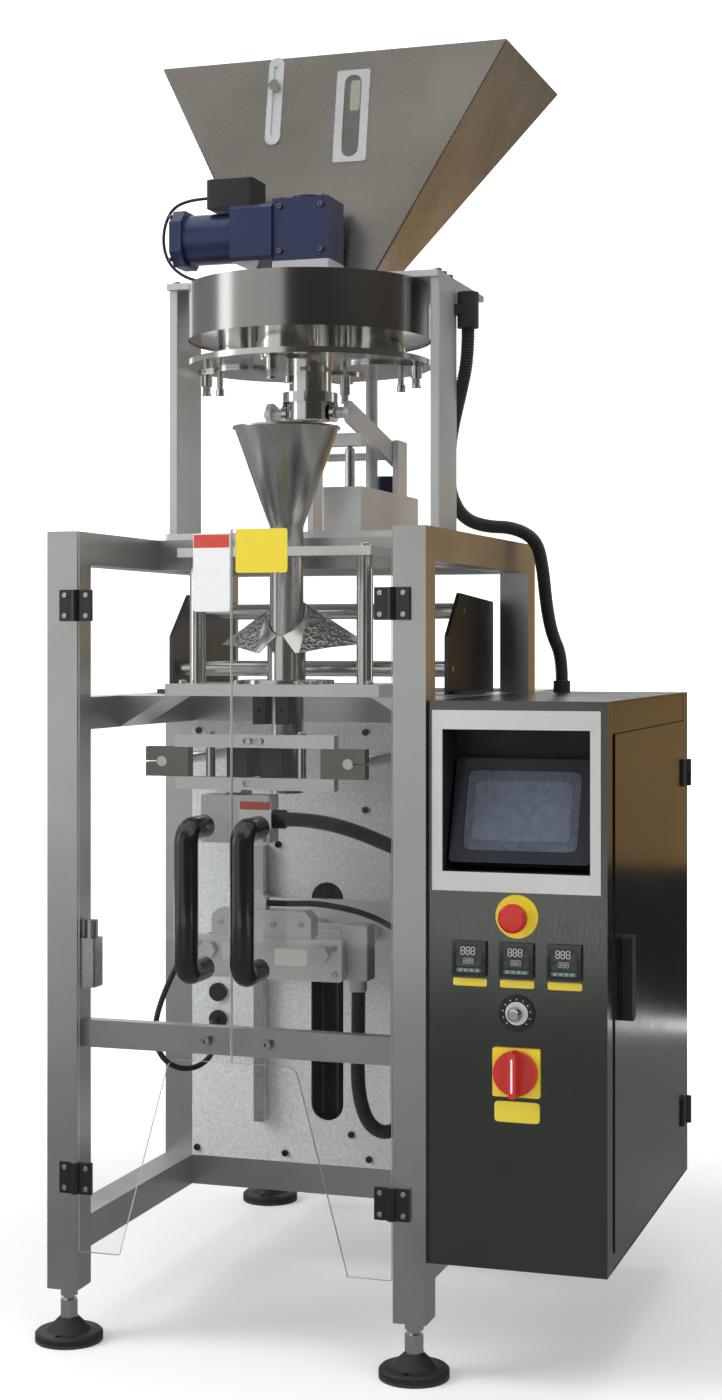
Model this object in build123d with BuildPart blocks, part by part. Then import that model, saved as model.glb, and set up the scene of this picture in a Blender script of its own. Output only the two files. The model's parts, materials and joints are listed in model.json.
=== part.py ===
from build123d import *
import math
import os

os.makedirs("parts", exist_ok=True)

# Upright bagging machine with a rotary cup filler on top.
# Millimetres, +Z up, floor at Z 0, +X to the operator's right, doors towards -Y.
# The origin is on the floor, in the middle of the machine's outline.

# Running and seating clearances
running_fit = 0.05
seat_gap = 0.3
moving_gap = 3

# Frame of square steel tube
frame_width = 580
tube = 48
tube_wall = 2
post_bottom = 80
frame_top = 1193
low_rail = 134
deck_rail = 901
rail_top = frame_top - tube
mid_depth = 440
upper_depth = 602
rear_depth = 850
top_cross_depth = 297
crossbar_size = (20, 40)
crossbar_depth = 19
crossbar_height = 435
gusset_reach = 80
gusset_run = 100
gusset_back = 250

# Levelling feet
foot_d = 100
foot_rim = 15
foot_height = 35
foot_neck_d = 28
foot_bolt_pitch = 76
foot_bolt_d = 9
stud_d = 16
nut_size = 24
nut_height = 13
foot_plate = 8

# Doors of clear sheet
door_sheet = 5
door_gap = 2
door_top = 1192
door_low = 138
door_high = 428
door_cut_radius = 18
hinge_width = 51
hinge_height = 46
hinge_leaf = 6
hinge_knuckle_d = 12
hinge_levels = (224, 1061)
handle_d = 34
handle_reach = 65
handle_bottom = 546
handle_top = 783
handle_inset = 42
handle_leg_d = 24

# Control cabinet
cabinet_width = 254
cabinet_front = 9.5
cabinet_back = 661
cabinet_bottom = 165.5
cabinet_top = 949
sheet = 2
side_door_sheet = 2
lock_depth = 14
bezel_width = 238
bezel_height = 250
bezel_z = 811
bezel_thick = 4
recess_width = 209
recess_height = 197
recess_depth = 78
screen_width = 200
screen_height = 150
screen_thick = 22
screen_lean = 18
controller_size = 48
controller_depth = 8
controller_pitch = 67
controller_z = 593
stop_z = 653
dial_z = 520
switch_z = 439
switch_plate = 67

# Former stand, forming tube and funnel
former_depth = 232
forming_tube_d = 52
forming_tube_wall = 1.5
forming_tube_bottom = 800
funnel_neck_z = 1207
funnel_top_z = 1360
funnel_d = 160
upper_plate = (310, 127, 14)
upper_plate_z = 1160
lower_plate = (342, 170, 18)
former_column_d = 25
former_column_spread = 270
former_column_depth = 204
plate_front = 160

# Filler on its portal
drum_depth = 340
drum_d = 384
drum_wall = 2
drum_bottom = 1504
portal_post = (15, 100)
portal_inner = 418
portal_plate_z = 1590
portal_plate_thick = 10
portal_depth = 290
portal_plate_run = 275
deck_thick = 10
deck_width = 460
cup_count = 4
cup_circle_r = former_depth - drum_depth
cup_r = 42
cup_wall = 2
upper_cup_z = 1476
upper_disc_z = 1506
upper_disc_thick = 6
lower_disc_z = 1463
lower_disc_thick = 9
lower_disc_d = 384
lower_cup_top = 1490
flap_thick = 4
flap_reach = 52
flap_pivot_r = 175
flap_pin_d = 10
hub_d = 68
hub_bottom = 1380
hub_flange_d = 89
hub_flange_z = 1407
hub_flange_thick = 16
shaft_d = 30
shaft_bottom = 1385

# Lift fork under the hub
fork_roller_d = 30
fork_roller_width = 9
fork_arm = 8
fork_arm_height = 36
fork_inside = 122
fork_pivot_depth = 580
fork_pivot_z = 1343
fork_pin_d = 14
jack_d = 16
jack_depth = 405
jack_offset = 45
case_width = 66
case_offset = 63
case_depth = 311
case_run = 308
case_height = 70

# Hopper
hopper_sheet = 2
hopper_top_z = 1985
hopper_bottom_z = 1606
hopper_top = (588, 365)
hopper_top_depth = 440
hopper_outlet = (180, 89)
hopper_outlet_depth = 376

# Gear motor
motor_z = 1674
motor_size = 88
motor_run = (-219, -116)
head_run = (-116, -46)
gearbox_size = (92, 76, 98)
motor_set_back = 8
mount_size = (95, 76, 27)
motor_box_size = (79, 64, 45)

# Seal units
seal_depth = 100
seal_bar_width = 250
seal_bar_depth = 20
seal_upper_z = 875
seal_upper_height = 19
seal_lower_z = 813
seal_lower_height = 18
seal_rod_d = 18
seal_rod_spread = 292
clamp_run = (104, 172)
fin_jaw = (36, 50, 40)
fin_gap = 14

rail_spread = 234
guide_rail = (17, 21)
guide_rail_bottom = 249
guide_rail_top = 700
carriage_plate = (300, 12, 90)
carriage_depth = 383
carriage_z = 530
jaw_beam = (240, 20, 62)
jaw_z = 528
jaw_beam_depth = 140
jaw_rod_d = 16
jaw_rod_spread = 180
jaw_rod_z = 569
jaw_bar = (190, 40, 34)
piston_d = 16
jaw_cylinder_d = 46
jaw_cylinder_run = 50
jaw_block = (159, 30, 40)
rear_jaw_depth = 259
jaw_box = (41, 38, 82)
jaw_box_offset = 111
jaw_gland = 18

# Film guide rollers and film shaft
guide_roller_d = 25
roller_plate = 6
roller_places = ((415, 1080), (350, 989))
film_shaft_d = 25
film_shaft_depth = 760
film_rail = 550

# Hoses
conduit_d = 22
hose_d = 9
lead_d = 5

# Placement of the frame's left side and front face
span_left = foot_d / 2 - tube / 2
span_right = frame_width + cabinet_width + side_door_sheet + lock_depth
span_front = handle_reach + handle_d / 2
span_rear = rear_depth + tube / 2 + foot_d / 2
left = (span_left - span_right) / 2
front = (span_front - span_rear) / 2

right = left + frame_width
middle = left + frame_width / 2
mid_y = front + mid_depth
upper_y = front + upper_depth
rear_y = front + rear_depth
tube_y = front + former_depth
drum_y = front + drum_depth
deck_z = frame_top + deck_thick
cabinet_left = right
cabinet_right = right + cabinet_width
cabinet_x = cabinet_left + 128
cabinet_y = front + cabinet_front
deck_rail_top = deck_rail + tube
inner_left = left + tube
inner_right = right - tube
turn = {"x": (0, 90, 0), "y": (-90, 0, 0), "z": (0, 0, 0)}


def block(x_span, y_span, z_span, mode=Mode.ADD):
    """Add, or cut, a block between three pairs of faces in the open part."""
    corner = (x_span[0], y_span[0], z_span[0])
    size = (x_span[1] - x_span[0], y_span[1] - y_span[0], z_span[1] - z_span[0])
    with Locations(corner):
        Box(*size, align=(Align.MIN, Align.MIN, Align.MIN), mode=mode)


def rod(start, direction, length, diameter, mode=Mode.ADD):
    """Add, or cut, a round bar that runs from start along +X, +Y or +Z in the open part."""
    with Locations(Location(start, turn[direction])):
        Cylinder(diameter / 2, length, align=(Align.CENTER, Align.CENTER, Align.MIN), mode=mode)


def about(centre, half):
    """The two ends of a span around its centre."""
    return (centre - half, centre + half)


def made(build):
    """The solids of a finished build, as a list."""
    return list(build.part.solids())


def upright(x, y, z_min, z_max, cap):
    """One upright of square tube, with a cap of the given thickness on top."""
    with BuildPart() as piece:
        with BuildSketch(Plane.XY.offset(z_min)):
            with Locations((x + tube / 2, y + tube / 2)):
                Rectangle(tube, tube)
        extrude(amount=z_max - z_min)
        with BuildSketch(Plane.XY.offset(z_min)):
            with Locations((x + tube / 2, y + tube / 2)):
                Rectangle(tube - 2 * tube_wall, tube - 2 * tube_wall)
        extrude(amount=z_max - z_min - cap, mode=Mode.SUBTRACT)
    return made(piece)


def cross_rail(y, z, depth=tube, height=tube):
    """A tube from the left posts to the right posts."""
    with BuildPart() as piece:
        with BuildSketch(Plane.YZ.offset(inner_left)):
            with Locations((y + depth / 2, z + height / 2)):
                Rectangle(depth, height)
                Rectangle(depth - 2 * tube_wall, height - 2 * tube_wall, mode=Mode.SUBTRACT)
        extrude(amount=inner_right - inner_left)
    return made(piece)


def side_rail(x, z, y_min, y_max):
    """A tube that runs from front to back."""
    with BuildPart() as piece:
        with BuildSketch(Plane.XZ.offset(-y_max)):
            with Locations((x + tube / 2, z + tube / 2)):
                Rectangle(tube, tube)
                Rectangle(tube - 2 * tube_wall, tube - 2 * tube_wall, mode=Mode.SUBTRACT)
        extrude(amount=y_max - y_min)
    return made(piece)


def gusset(x, reach):
    """A triangular block between a post rail and the former's lower plate, apex down."""
    with BuildPart() as piece:
        with BuildSketch(Plane.XZ.offset(-front - gusset_back)):
            with BuildLine():
                Polyline((x, deck_rail), (x + reach, deck_rail_top), (x, deck_rail_top), close=True)
            make_face()
        extrude(amount=gusset_run)
    return made(piece)


# Frame: posts, rails, gussets and the plates that the feet screw into
frame_pieces = []
foot_places = []
for side in (left, right - tube):
    frame_pieces += upright(side, front, post_bottom, frame_top, tube_wall)
    frame_pieces += upright(side, mid_y, low_rail + tube, deck_rail, 0)
    frame_pieces += upright(side, rear_y, post_bottom, deck_rail, 0)
    frame_pieces += upright(side, upper_y, deck_rail_top, frame_top, tube_wall)
    frame_pieces += side_rail(side, low_rail, front + tube, rear_y)
    frame_pieces += side_rail(side, deck_rail, front + tube, rear_y + tube)
    frame_pieces += side_rail(side, rail_top, front + tube, upper_y)
    frame_pieces += side_rail(side, film_rail, mid_y + tube, rear_y)
    foot_places += [(side + tube / 2, front + tube / 2), (side + tube / 2, rear_y + tube / 2)]
for y in (mid_y, rear_y):
    frame_pieces += cross_rail(y, low_rail)
    frame_pieces += cross_rail(y, deck_rail)
for y in (front + top_cross_depth, upper_y):
    frame_pieces += cross_rail(y, rail_top)
frame_pieces += cross_rail(front + crossbar_depth, crossbar_height, *crossbar_size)
frame_pieces += gusset(inner_left, gusset_reach)
frame_pieces += gusset(inner_right, -gusset_reach)
for x, y in foot_places:
    with BuildPart() as foot_seat:
        block(about(x, tube / 2 - tube_wall), about(y, tube / 2 - tube_wall),
              (post_bottom, post_bottom + foot_plate))
        rod((x, y, post_bottom), "z", foot_plate, stud_d + 2 * running_fit, Mode.SUBTRACT)
    frame_pieces += made(foot_seat)
frame = Compound(frame_pieces)
frame.label = "frame"
export_step(frame, "parts/frame.step")

# Levelling feet: a coned base with two bolt holes, a stud and two nuts
with BuildPart() as foot_bases:
    for x, y in foot_places:
        foot_axis = Plane(origin=(x, y, 0), x_dir=(1, 0, 0), z_dir=(0, -1, 0))
        with BuildSketch(foot_axis):
            with BuildLine():
                Polyline((0, 0), (foot_d / 2, 0), (foot_d / 2, foot_rim - 3), (foot_d / 2 - 3, foot_rim),
                         (foot_d / 3, foot_rim + 1), (foot_neck_d / 2, foot_height), (0, foot_height),
                         close=True)
            make_face()
        revolve(axis=Axis((x, y, 0), (0, 0, 1)))
        for offset_y in about(0, foot_bolt_pitch / 2):
            rod((x, y + offset_y, 0), "z", foot_rim * 2, foot_bolt_d, Mode.SUBTRACT)
foot_bases.part.label = "foot_bases"
export_step(foot_bases.part, "parts/foot_bases.step")

stud_pieces = []
for x, y in foot_places:
    with BuildPart() as stud:
        rod((x, y, foot_height), "z", post_bottom + foot_plate + 20 - foot_height, stud_d)
    stud_pieces += made(stud)
    for nut_z in (foot_height, foot_height + nut_height, post_bottom - nut_height):
        with BuildPart() as nut:
            with BuildSketch(Plane.XY.offset(nut_z)):
                with Locations((x, y)):
                    RegularPolygon(nut_size / math.sqrt(3), 6)
                    Circle(stud_d / 2 + running_fit, mode=Mode.SUBTRACT)
            extrude(amount=nut_height)
        stud_pieces += made(nut)
foot_studs = Compound(stud_pieces)
foot_studs.label = "foot_studs"
export_step(foot_studs, "parts/foot_studs.step")

# Deck plate on top of the frame
with BuildPart() as deck_plate:
    block(about(middle, deck_width / 2), (front + top_cross_depth, upper_y + tube), (frame_top, deck_z))
    fillet(deck_plate.edges().filter_by(Axis.Z), 6)
deck_plate.part.label = "deck_plate"
export_step(deck_plate.part, "parts/deck_plate.step")

# Back panel between the middle posts, with the slot for the jaw drive
panel_thick = 4
slot_x = middle - 5.5
slot_width = 55
slot_bottom = 254
slot_top = 641
grommet_x = left + 95
grommet_levels = (409, 454)
grommet_d = 22
with BuildPart() as back_panel:
    block((inner_left, inner_right), (mid_y, mid_y + panel_thick), (low_rail + tube, deck_rail))
    with BuildSketch(Plane.XZ.offset(-mid_y - panel_thick)):
        with Locations((slot_x, (slot_bottom + slot_top) / 2)):
            SlotOverall(slot_top - slot_bottom, slot_width, rotation=90)
        for grommet_z in grommet_levels:
            with Locations((grommet_x, grommet_z)):
                Circle(grommet_d / 2)
    extrude(amount=panel_thick, mode=Mode.SUBTRACT)
back_panel.part.label = "back_panel"
export_step(back_panel.part, "parts/back_panel.step")

# Two linear rails on the back panel
rail_y = (mid_y - guide_rail[1], mid_y)
with BuildPart() as jaw_rails:
    for rail_x in about(middle, rail_spread / 2):
        with BuildSketch(Plane.XY.offset(guide_rail_bottom)):
            with BuildLine():
                half = guide_rail[0] / 2
                deep = guide_rail[1]
                Polyline((rail_x - half, mid_y), (rail_x - half, mid_y - deep * 0.4),
                         (rail_x - half + 2, mid_y - deep * 0.55), (rail_x - half, mid_y - deep * 0.75),
                         (rail_x - half, mid_y - deep), (rail_x + half, mid_y - deep),
                         (rail_x + half, mid_y - deep * 0.75), (rail_x + half - 2, mid_y - deep * 0.55),
                         (rail_x + half, mid_y - deep * 0.4), (rail_x + half, mid_y), close=True)
            make_face()
        extrude(amount=guide_rail_top - guide_rail_bottom)
jaw_rails.part.label = "jaw_rails"
export_step(jaw_rails.part, "parts/jaw_rails.step")

# Former stand: two plates and two columns
lower_plate_z = deck_rail_top
column_xs = about(middle, former_column_spread / 2)
column_y = front + former_column_depth
with BuildPart() as upper_former_plate:
    block(about(middle, upper_plate[0] / 2), (front + top_cross_depth - upper_plate[1], front + top_cross_depth),
          (upper_plate_z, upper_plate_z + upper_plate[2]))
    rod((middle, tube_y, upper_plate_z), "z", upper_plate[2], forming_tube_d + 2 * seat_gap, Mode.SUBTRACT)
with BuildPart() as lower_former_plate:
    block(about(middle, lower_plate[0] / 2), (front + plate_front, front + plate_front + lower_plate[1]),
          (lower_plate_z, lower_plate_z + lower_plate[2]))
    rod((middle, tube_y, lower_plate_z), "z", lower_plate[2], forming_tube_d + 16, Mode.SUBTRACT)
with BuildPart() as stand_columns:
    for x in column_xs:
        rod((x, column_y, lower_plate_z + lower_plate[2]), "z",
            upper_plate_z - lower_plate_z - lower_plate[2], former_column_d)
fin_guide_height = 42
with BuildPart() as fin_guides:
    for x_span in ((middle - 28, middle - 8), (middle + 8, middle + 28)):
        block(x_span, (front + plate_front, front + plate_front + 30),
              (lower_plate_z - fin_guide_height, lower_plate_z))
        rod((sum(x_span) / 2, front + plate_front, lower_plate_z - fin_guide_height / 2), "y", 8, 5, Mode.SUBTRACT)
former_stand = Compound(made(upper_former_plate) + made(lower_former_plate) + made(stand_columns)
                        + made(fin_guides))
former_stand.label = "former_stand"
export_step(former_stand, "parts/former_stand.step")

# Forming tube with its funnel, one turned profile
tube_r = forming_tube_d / 2
tube_axis_plane = Plane(origin=(middle, tube_y, 0), x_dir=(1, 0, 0), z_dir=(0, -1, 0))
tube_axis = Axis((middle, tube_y, 0), (0, 0, 1))
rim = 3
with BuildPart() as forming_tube:
    with BuildSketch(tube_axis_plane):
        with BuildLine():
            Polyline((tube_r, forming_tube_bottom), (tube_r, funnel_neck_z),
                     (funnel_d / 2, funnel_top_z - rim), (funnel_d / 2 + rim, funnel_top_z - rim),
                     (funnel_d / 2 + rim, funnel_top_z), (funnel_d / 2 - forming_tube_wall, funnel_top_z),
                     (tube_r - forming_tube_wall, funnel_neck_z),
                     (tube_r - forming_tube_wall, forming_tube_bottom), close=True)
        make_face()
    revolve(axis=tube_axis)
forming_tube.part.label = "forming_tube"
export_step(forming_tube.part, "parts/forming_tube.step")

# Forming collar: a sleeve round the tube, two bent wings and a seat ring
collar_gap = 1.5
collar_r = tube_r + collar_gap
collar_sheet = 2
collar_bottom = lower_plate_z + lower_plate[2]
collar_seat = 6
collar_front_z = 1040
collar_back_z = 1100
wing_reach = 112
wing_tip_z = 1028
wing_back = 62


wing_steps = 4


def wing(sign):
    """One half of the shoulder: flat facets from the sleeve's sloping top edge out to the wing's edge."""
    neck_r = (collar_r + collar_sheet + seat_gap) / math.cos(math.pi / wing_steps / 2)
    neck = []
    for step in range(wing_steps + 1):
        angle = math.radians(10 + 160 * step / wing_steps)
        rise = (1 - math.cos(angle)) / 2
        neck.append(Vector(middle + sign * neck_r * math.sin(angle), tube_y - neck_r * math.cos(angle),
                           collar_front_z + (collar_back_z - collar_front_z) * rise))
    edge = [Vector(middle + sign * 30, tube_y - neck_r - 12, collar_front_z - 26),
            Vector(middle + sign * 78, tube_y - 14, wing_tip_z - 4),
            Vector(middle + sign * wing_reach, tube_y + 14, wing_tip_z),
            Vector(middle + sign * wing_reach, tube_y + wing_back, wing_tip_z)]
    triangles = [(neck[0], neck[1], edge[0]), (neck[1], edge[1], edge[0]), (neck[1], neck[2], edge[1]),
                 (neck[2], edge[2], edge[1]), (neck[2], neck[3], edge[2]), (neck[3], edge[3], edge[2]),
                 (neck[3], neck[4], edge[3])]
    return [Face(Wire.make_polygon(corners, close=True)) for corners in triangles]


with BuildPart() as collar_sleeve:
    with BuildSketch(Plane.XY.offset(collar_bottom)):
        with Locations((middle, tube_y)):
            Circle(collar_r + collar_sheet)
            Circle(collar_r, mode=Mode.SUBTRACT)
    extrude(amount=collar_back_z - collar_bottom)
    cut_plane = Plane(origin=(middle, tube_y, (collar_front_z + collar_back_z) / 2),
                      x_dir=(1, 0, 0),
                      z_dir=(0, collar_front_z - collar_back_z, 2 * (collar_r + collar_sheet)))
    split(bisect_by=cut_plane, keep=Keep.BOTTOM)
    with BuildSketch(Plane.XY.offset(collar_bottom)):
        with Locations((middle, tube_y)):
            Circle(73)
            Circle(collar_r, mode=Mode.SUBTRACT)
    extrude(amount=collar_seat)
collar_pieces = made(collar_sleeve)
for sign in (-1, 1):
    with BuildPart() as shoulder:
        for facet in wing(sign):
            thicken(facet, amount=sign * collar_sheet)
    collar_pieces += made(shoulder)
forming_collar = Compound(collar_pieces)
forming_collar.label = "forming_collar"
export_step(forming_collar, "parts/forming_collar.step")

# Long seal unit: two rods from the back panel, split clamps, and the yoke between them
clamp_z = (seal_lower_z + seal_lower_height, seal_upper_z)
clamp_mid = sum(clamp_z) / 2
seal_y = (front + seal_depth - seal_bar_depth / 2, front + seal_depth + seal_bar_depth / 2)
seal_rod_xs = about(middle, seal_rod_spread / 2)
with BuildPart() as seal_rods:
    for x in seal_rod_xs:
        rod((x, seal_y[0], clamp_mid), "y", mid_y - seal_y[0], seal_rod_d)
with BuildPart() as split_clamps:
    for sign in (-1, 1):
        ends = sorted((middle + sign * clamp_run[0], middle + sign * clamp_run[1]))
        block(ends, seal_y, clamp_z)
        rod((middle + sign * seal_rod_spread / 2, seal_y[0], clamp_mid), "y", seal_bar_depth,
            seal_rod_d + 2 * running_fit, Mode.SUBTRACT)
        slit = sorted((middle + sign * seal_rod_spread / 2, middle + sign * clamp_run[1]))
        block(slit, seal_y, about(clamp_mid, 1), Mode.SUBTRACT)
seal_clamps = Compound(made(seal_rods) + made(split_clamps))
seal_clamps.label = "seal_clamps"
export_step(seal_clamps, "parts/seal_clamps.step")

seal_pin_spread = 143
seal_pin_d = 14
yoke_pieces = []
for z, height in ((seal_lower_z, seal_lower_height), (seal_upper_z, seal_upper_height)):
    with BuildPart() as seal_bar:
        block(about(middle, seal_bar_width / 2), seal_y, (z, z + height))
        with BuildSketch(Plane.XZ.offset(-seal_y[0] - 5)):
            with Locations((middle, z + height / 2)):
                SlotOverall(34, 9)
        extrude(amount=5, mode=Mode.SUBTRACT)
        fillet(seal_bar.edges().filter_by(Axis.Y).group_by(Axis.X)[0], 2)
    yoke_pieces += made(seal_bar)
for x in about(middle, seal_pin_spread / 2):
    with BuildPart() as seal_pin:
        rod((x, front + seal_depth, clamp_z[0]), "z", clamp_z[1] - clamp_z[0], seal_pin_d)
    yoke_pieces += made(seal_pin)
# Long seal jaws, one each side of the film's fin
for name, sign in (("fin_jaw_left", -1), ("fin_jaw_right", 1)):
    inner_face = middle + sign * fin_gap / 2
    outer_face = inner_face + sign * fin_jaw[0]
    with BuildPart() as long_jaw:
        block(sorted((inner_face, outer_face)), (seal_y[0] + 2, seal_y[0] + 2 + fin_jaw[1]),
              (clamp_z[0] + seat_gap, clamp_z[1] - seat_gap))
        chamfer(long_jaw.edges().filter_by(Axis.Z).group_by(Axis.X)[-1 if sign < 0 else 0], 4)
    long_jaw.part.label = name
    export_step(long_jaw.part, f"parts/{name}.step")

# Connection box of the long seal unit, on a strap under the lower bar
seal_box_size = (108, 40, 71)
seal_box_top = 805
seal_box_x = (middle - 84, middle - 84 + seal_box_size[0])
strap_sheet = 4
with BuildPart() as seal_strap:
    strap_y = seal_y[0] + 2 + seal_box_size[1]
    block((middle - 60, middle - 20), (strap_y, strap_y + strap_sheet), (seal_box_top - seal_box_size[2], seal_lower_z))
    block((middle - 60, middle - 20), (seal_y[0], strap_y), (seal_lower_z - strap_sheet, seal_lower_z))
with BuildPart() as seal_box:
    block(seal_box_x, (seal_y[0] + 2, seal_y[0] + 2 + seal_box_size[1]), (seal_box_top - seal_box_size[2], seal_box_top))
    fillet(seal_box.edges().filter_by(Axis.Y), 4)
seal_yoke = Compound(yoke_pieces + made(seal_box) + made(seal_strap))
seal_yoke.label = "seal_yoke"
export_step(seal_yoke, "parts/seal_yoke.step")

# Side plates and rollers that bring the film to the collar
plate_xs = (inner_left + 10, inner_right - 10 - roller_plate)
with BuildPart() as roller_plates:
    for x in plate_xs:
        with BuildSketch(Plane.YZ.offset(x)):
            with BuildLine():
                Polyline((front + 320, deck_rail_top), (upper_y - 5, deck_rail_top), (upper_y - 5, 1098),
                         (front + 390, 1108), (front + 320, 1040), close=True)
            make_face()
        extrude(amount=roller_plate)
        foot_end = inner_left - 20 if x < middle else inner_right + 20
        block((min(x, foot_end), max(x + roller_plate, foot_end)), (front + 340, front + 430),
              (deck_rail_top, deck_rail_top + roller_plate))
    for depth, z in roller_places:
        rod((plate_xs[0], front + depth, z), "x", plate_xs[1] - plate_xs[0] + roller_plate, 10 + 2 * running_fit,
            Mode.SUBTRACT)

for number, (depth, z) in enumerate(roller_places, start=1):
    with BuildPart() as guide_roller:
        rod((plate_xs[0], front + depth, z), "x", plate_xs[1] - plate_xs[0] + roller_plate, 10)
        rod((plate_xs[0] + roller_plate + moving_gap, front + depth, z), "x",
            plate_xs[1] - plate_xs[0] - roller_plate - 2 * moving_gap, guide_roller_d)
    guide_roller.part.label = f"guide_roller_{number}"
    export_step(guide_roller.part, f"parts/guide_roller_{number}.step")

# Bearings on the film rails, and the film shaft with its two cones
film_shaft_y = front + film_shaft_depth
bearing_size = (32, 44, 40)
film_shaft_z = film_rail + tube + bearing_size[2] / 2
shaft_end = 8
with BuildPart() as film_bearings:
    for x_min in (left + shaft_end, right - shaft_end - bearing_size[0]):
        block((x_min, x_min + bearing_size[0]), about(film_shaft_y, bearing_size[1] / 2),
              (film_rail + tube, film_rail + tube + bearing_size[2]))
        rod((x_min, film_shaft_y, film_shaft_z), "x", bearing_size[0], film_shaft_d + 2 * running_fit, Mode.SUBTRACT)
film_frame = Compound(made(roller_plates) + made(film_bearings))
film_frame.label = "film_frame"
export_step(film_frame, "parts/film_frame.step")

cone_plane = Plane(origin=(0, film_shaft_y, film_shaft_z), x_dir=(1, 0, 0), z_dir=(0, -1, 0))
cone_inner = 120
cone_length = 40
cone_r = 40
cone_flange_r = 60
cone_flange = 8
with BuildPart() as film_shaft:
    rod((left + shaft_end, film_shaft_y, film_shaft_z), "x", frame_width - 2 * shaft_end, film_shaft_d)
    for sign in (-1, 1):
        with BuildSketch(cone_plane):
            with BuildLine():
                Polyline((middle + sign * cone_inner, film_shaft_d / 2 - 1), (middle + sign * cone_inner, 24),
                         (middle + sign * (cone_inner + cone_length), cone_r),
                         (middle + sign * (cone_inner + cone_length), cone_flange_r),
                         (middle + sign * (cone_inner + cone_length + cone_flange), cone_flange_r),
                         (middle + sign * (cone_inner + cone_length + cone_flange), film_shaft_d / 2 - 1), close=True)
            make_face()
        revolve(axis=Axis((0, film_shaft_y, film_shaft_z), (1, 0, 0)))
film_shaft.part.label = "film_shaft"
export_step(film_shaft.part, "parts/film_shaft.step")

# Portal: two flat posts, and the plate that carries the filler
portal_posts_x = ((middle - portal_inner / 2 - portal_post[0], middle - portal_inner / 2),
                  (middle + portal_inner / 2, middle + portal_inner / 2 + portal_post[0]))
portal_y = (front + portal_depth, front + portal_depth + portal_post[1])
hopper_x = about(middle, hopper_outlet[0] / 2)
hopper_y = (front + hopper_outlet_depth, front + hopper_outlet_depth + hopper_outlet[1])
plate_top = portal_plate_z + portal_plate_thick
case_x = about(middle + case_offset, case_width / 2)
case_y = (front + case_depth, front + case_depth + case_run)
case_top = deck_z + case_height
column_place = (middle + 35.5, front + 549)
column_d = 20
with BuildPart() as portal_posts:
    for x_span in portal_posts_x:
        block(x_span, (portal_y[0] + 10, portal_y[1] + 10), (deck_z, portal_plate_z))
    fillet(portal_posts.edges().filter_by(Axis.Z), 2)
    rod((*column_place, case_top), "z", portal_plate_z - case_top, column_d)

with BuildPart() as portal_plate:
    block((portal_posts_x[0][0], portal_posts_x[1][1]), (portal_y[0], portal_y[0] + portal_plate_run),
          (portal_plate_z, plate_top))
    block(hopper_x, hopper_y, (portal_plate_z, plate_top), Mode.SUBTRACT)
    rod((middle, drum_y, portal_plate_z), "z", portal_plate_thick, shaft_d + 12, Mode.SUBTRACT)
gear_y = drum_y - motor_set_back
with BuildPart() as motor_mount:
    block(about(middle, mount_size[0] / 2), about(gear_y, mount_size[1] / 2), (plate_top, plate_top + mount_size[2]))
    fillet(motor_mount.edges().filter_by(Axis.Z), 3)
    rod((middle, drum_y, plate_top), "z", mount_size[2] - 5, shaft_d + 12, Mode.SUBTRACT)
portal = Compound(made(portal_posts) + made(portal_plate) + made(motor_mount))
portal.label = "portal"
export_step(portal, "parts/portal.step")

# Drum: a polished band with a lid under the portal plate
drum_r = drum_d / 2
with BuildPart() as drum:
    with BuildSketch(Plane.XY.offset(drum_bottom)):
        with Locations((middle, drum_y)):
            Circle(drum_r)
            Circle(drum_r - drum_wall, mode=Mode.SUBTRACT)
    extrude(amount=portal_plate_z - drum_bottom)
    with BuildSketch(Plane.XY.offset(portal_plate_z - drum_wall)):
        with Locations((middle, drum_y)):
            Circle(drum_r - drum_wall)
            Circle(shaft_d / 2 + 6, mode=Mode.SUBTRACT)
        with Locations((sum(hopper_x) / 2, sum(hopper_y) / 2)):
            Rectangle(*hopper_outlet, mode=Mode.SUBTRACT)
    extrude(amount=drum_wall)
drum.part.label = "drum"
export_step(drum.part, "parts/drum.step")

# Turntable: shaft, upper disc and the upper halves of the measuring cups
cup_places = [(middle + cup_circle_r * math.sin(math.radians(step * 360 / cup_count)),
               drum_y + cup_circle_r * math.cos(math.radians(step * 360 / cup_count)))
              for step in range(cup_count)]
upper_cup_outer = cup_r + cup_wall
lower_cup_inner = upper_cup_outer + 0.5
lower_cup_outer = lower_cup_inner + cup_wall
shaft_top = plate_top + mount_size[2] - 6
with BuildPart() as turntable:
    rod((middle, drum_y, shaft_bottom), "z", shaft_top - shaft_bottom, shaft_d)
    with BuildSketch(Plane.XY.offset(upper_disc_z)):
        with Locations((middle, drum_y)):
            Circle(drum_r - drum_wall - 1)
    extrude(amount=upper_disc_thick)
    with BuildSketch(Plane.XY.offset(upper_cup_z)):
        with Locations(*cup_places):
            Circle(upper_cup_outer)
    extrude(amount=upper_disc_z - upper_cup_z)
    with BuildSketch(Plane.XY.offset(upper_cup_z)):
        with Locations(*cup_places):
            Circle(cup_r)
    extrude(amount=upper_disc_z + upper_disc_thick - upper_cup_z, mode=Mode.SUBTRACT)
turntable.part.label = "turntable"
export_step(turntable.part, "parts/turntable.step")

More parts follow.
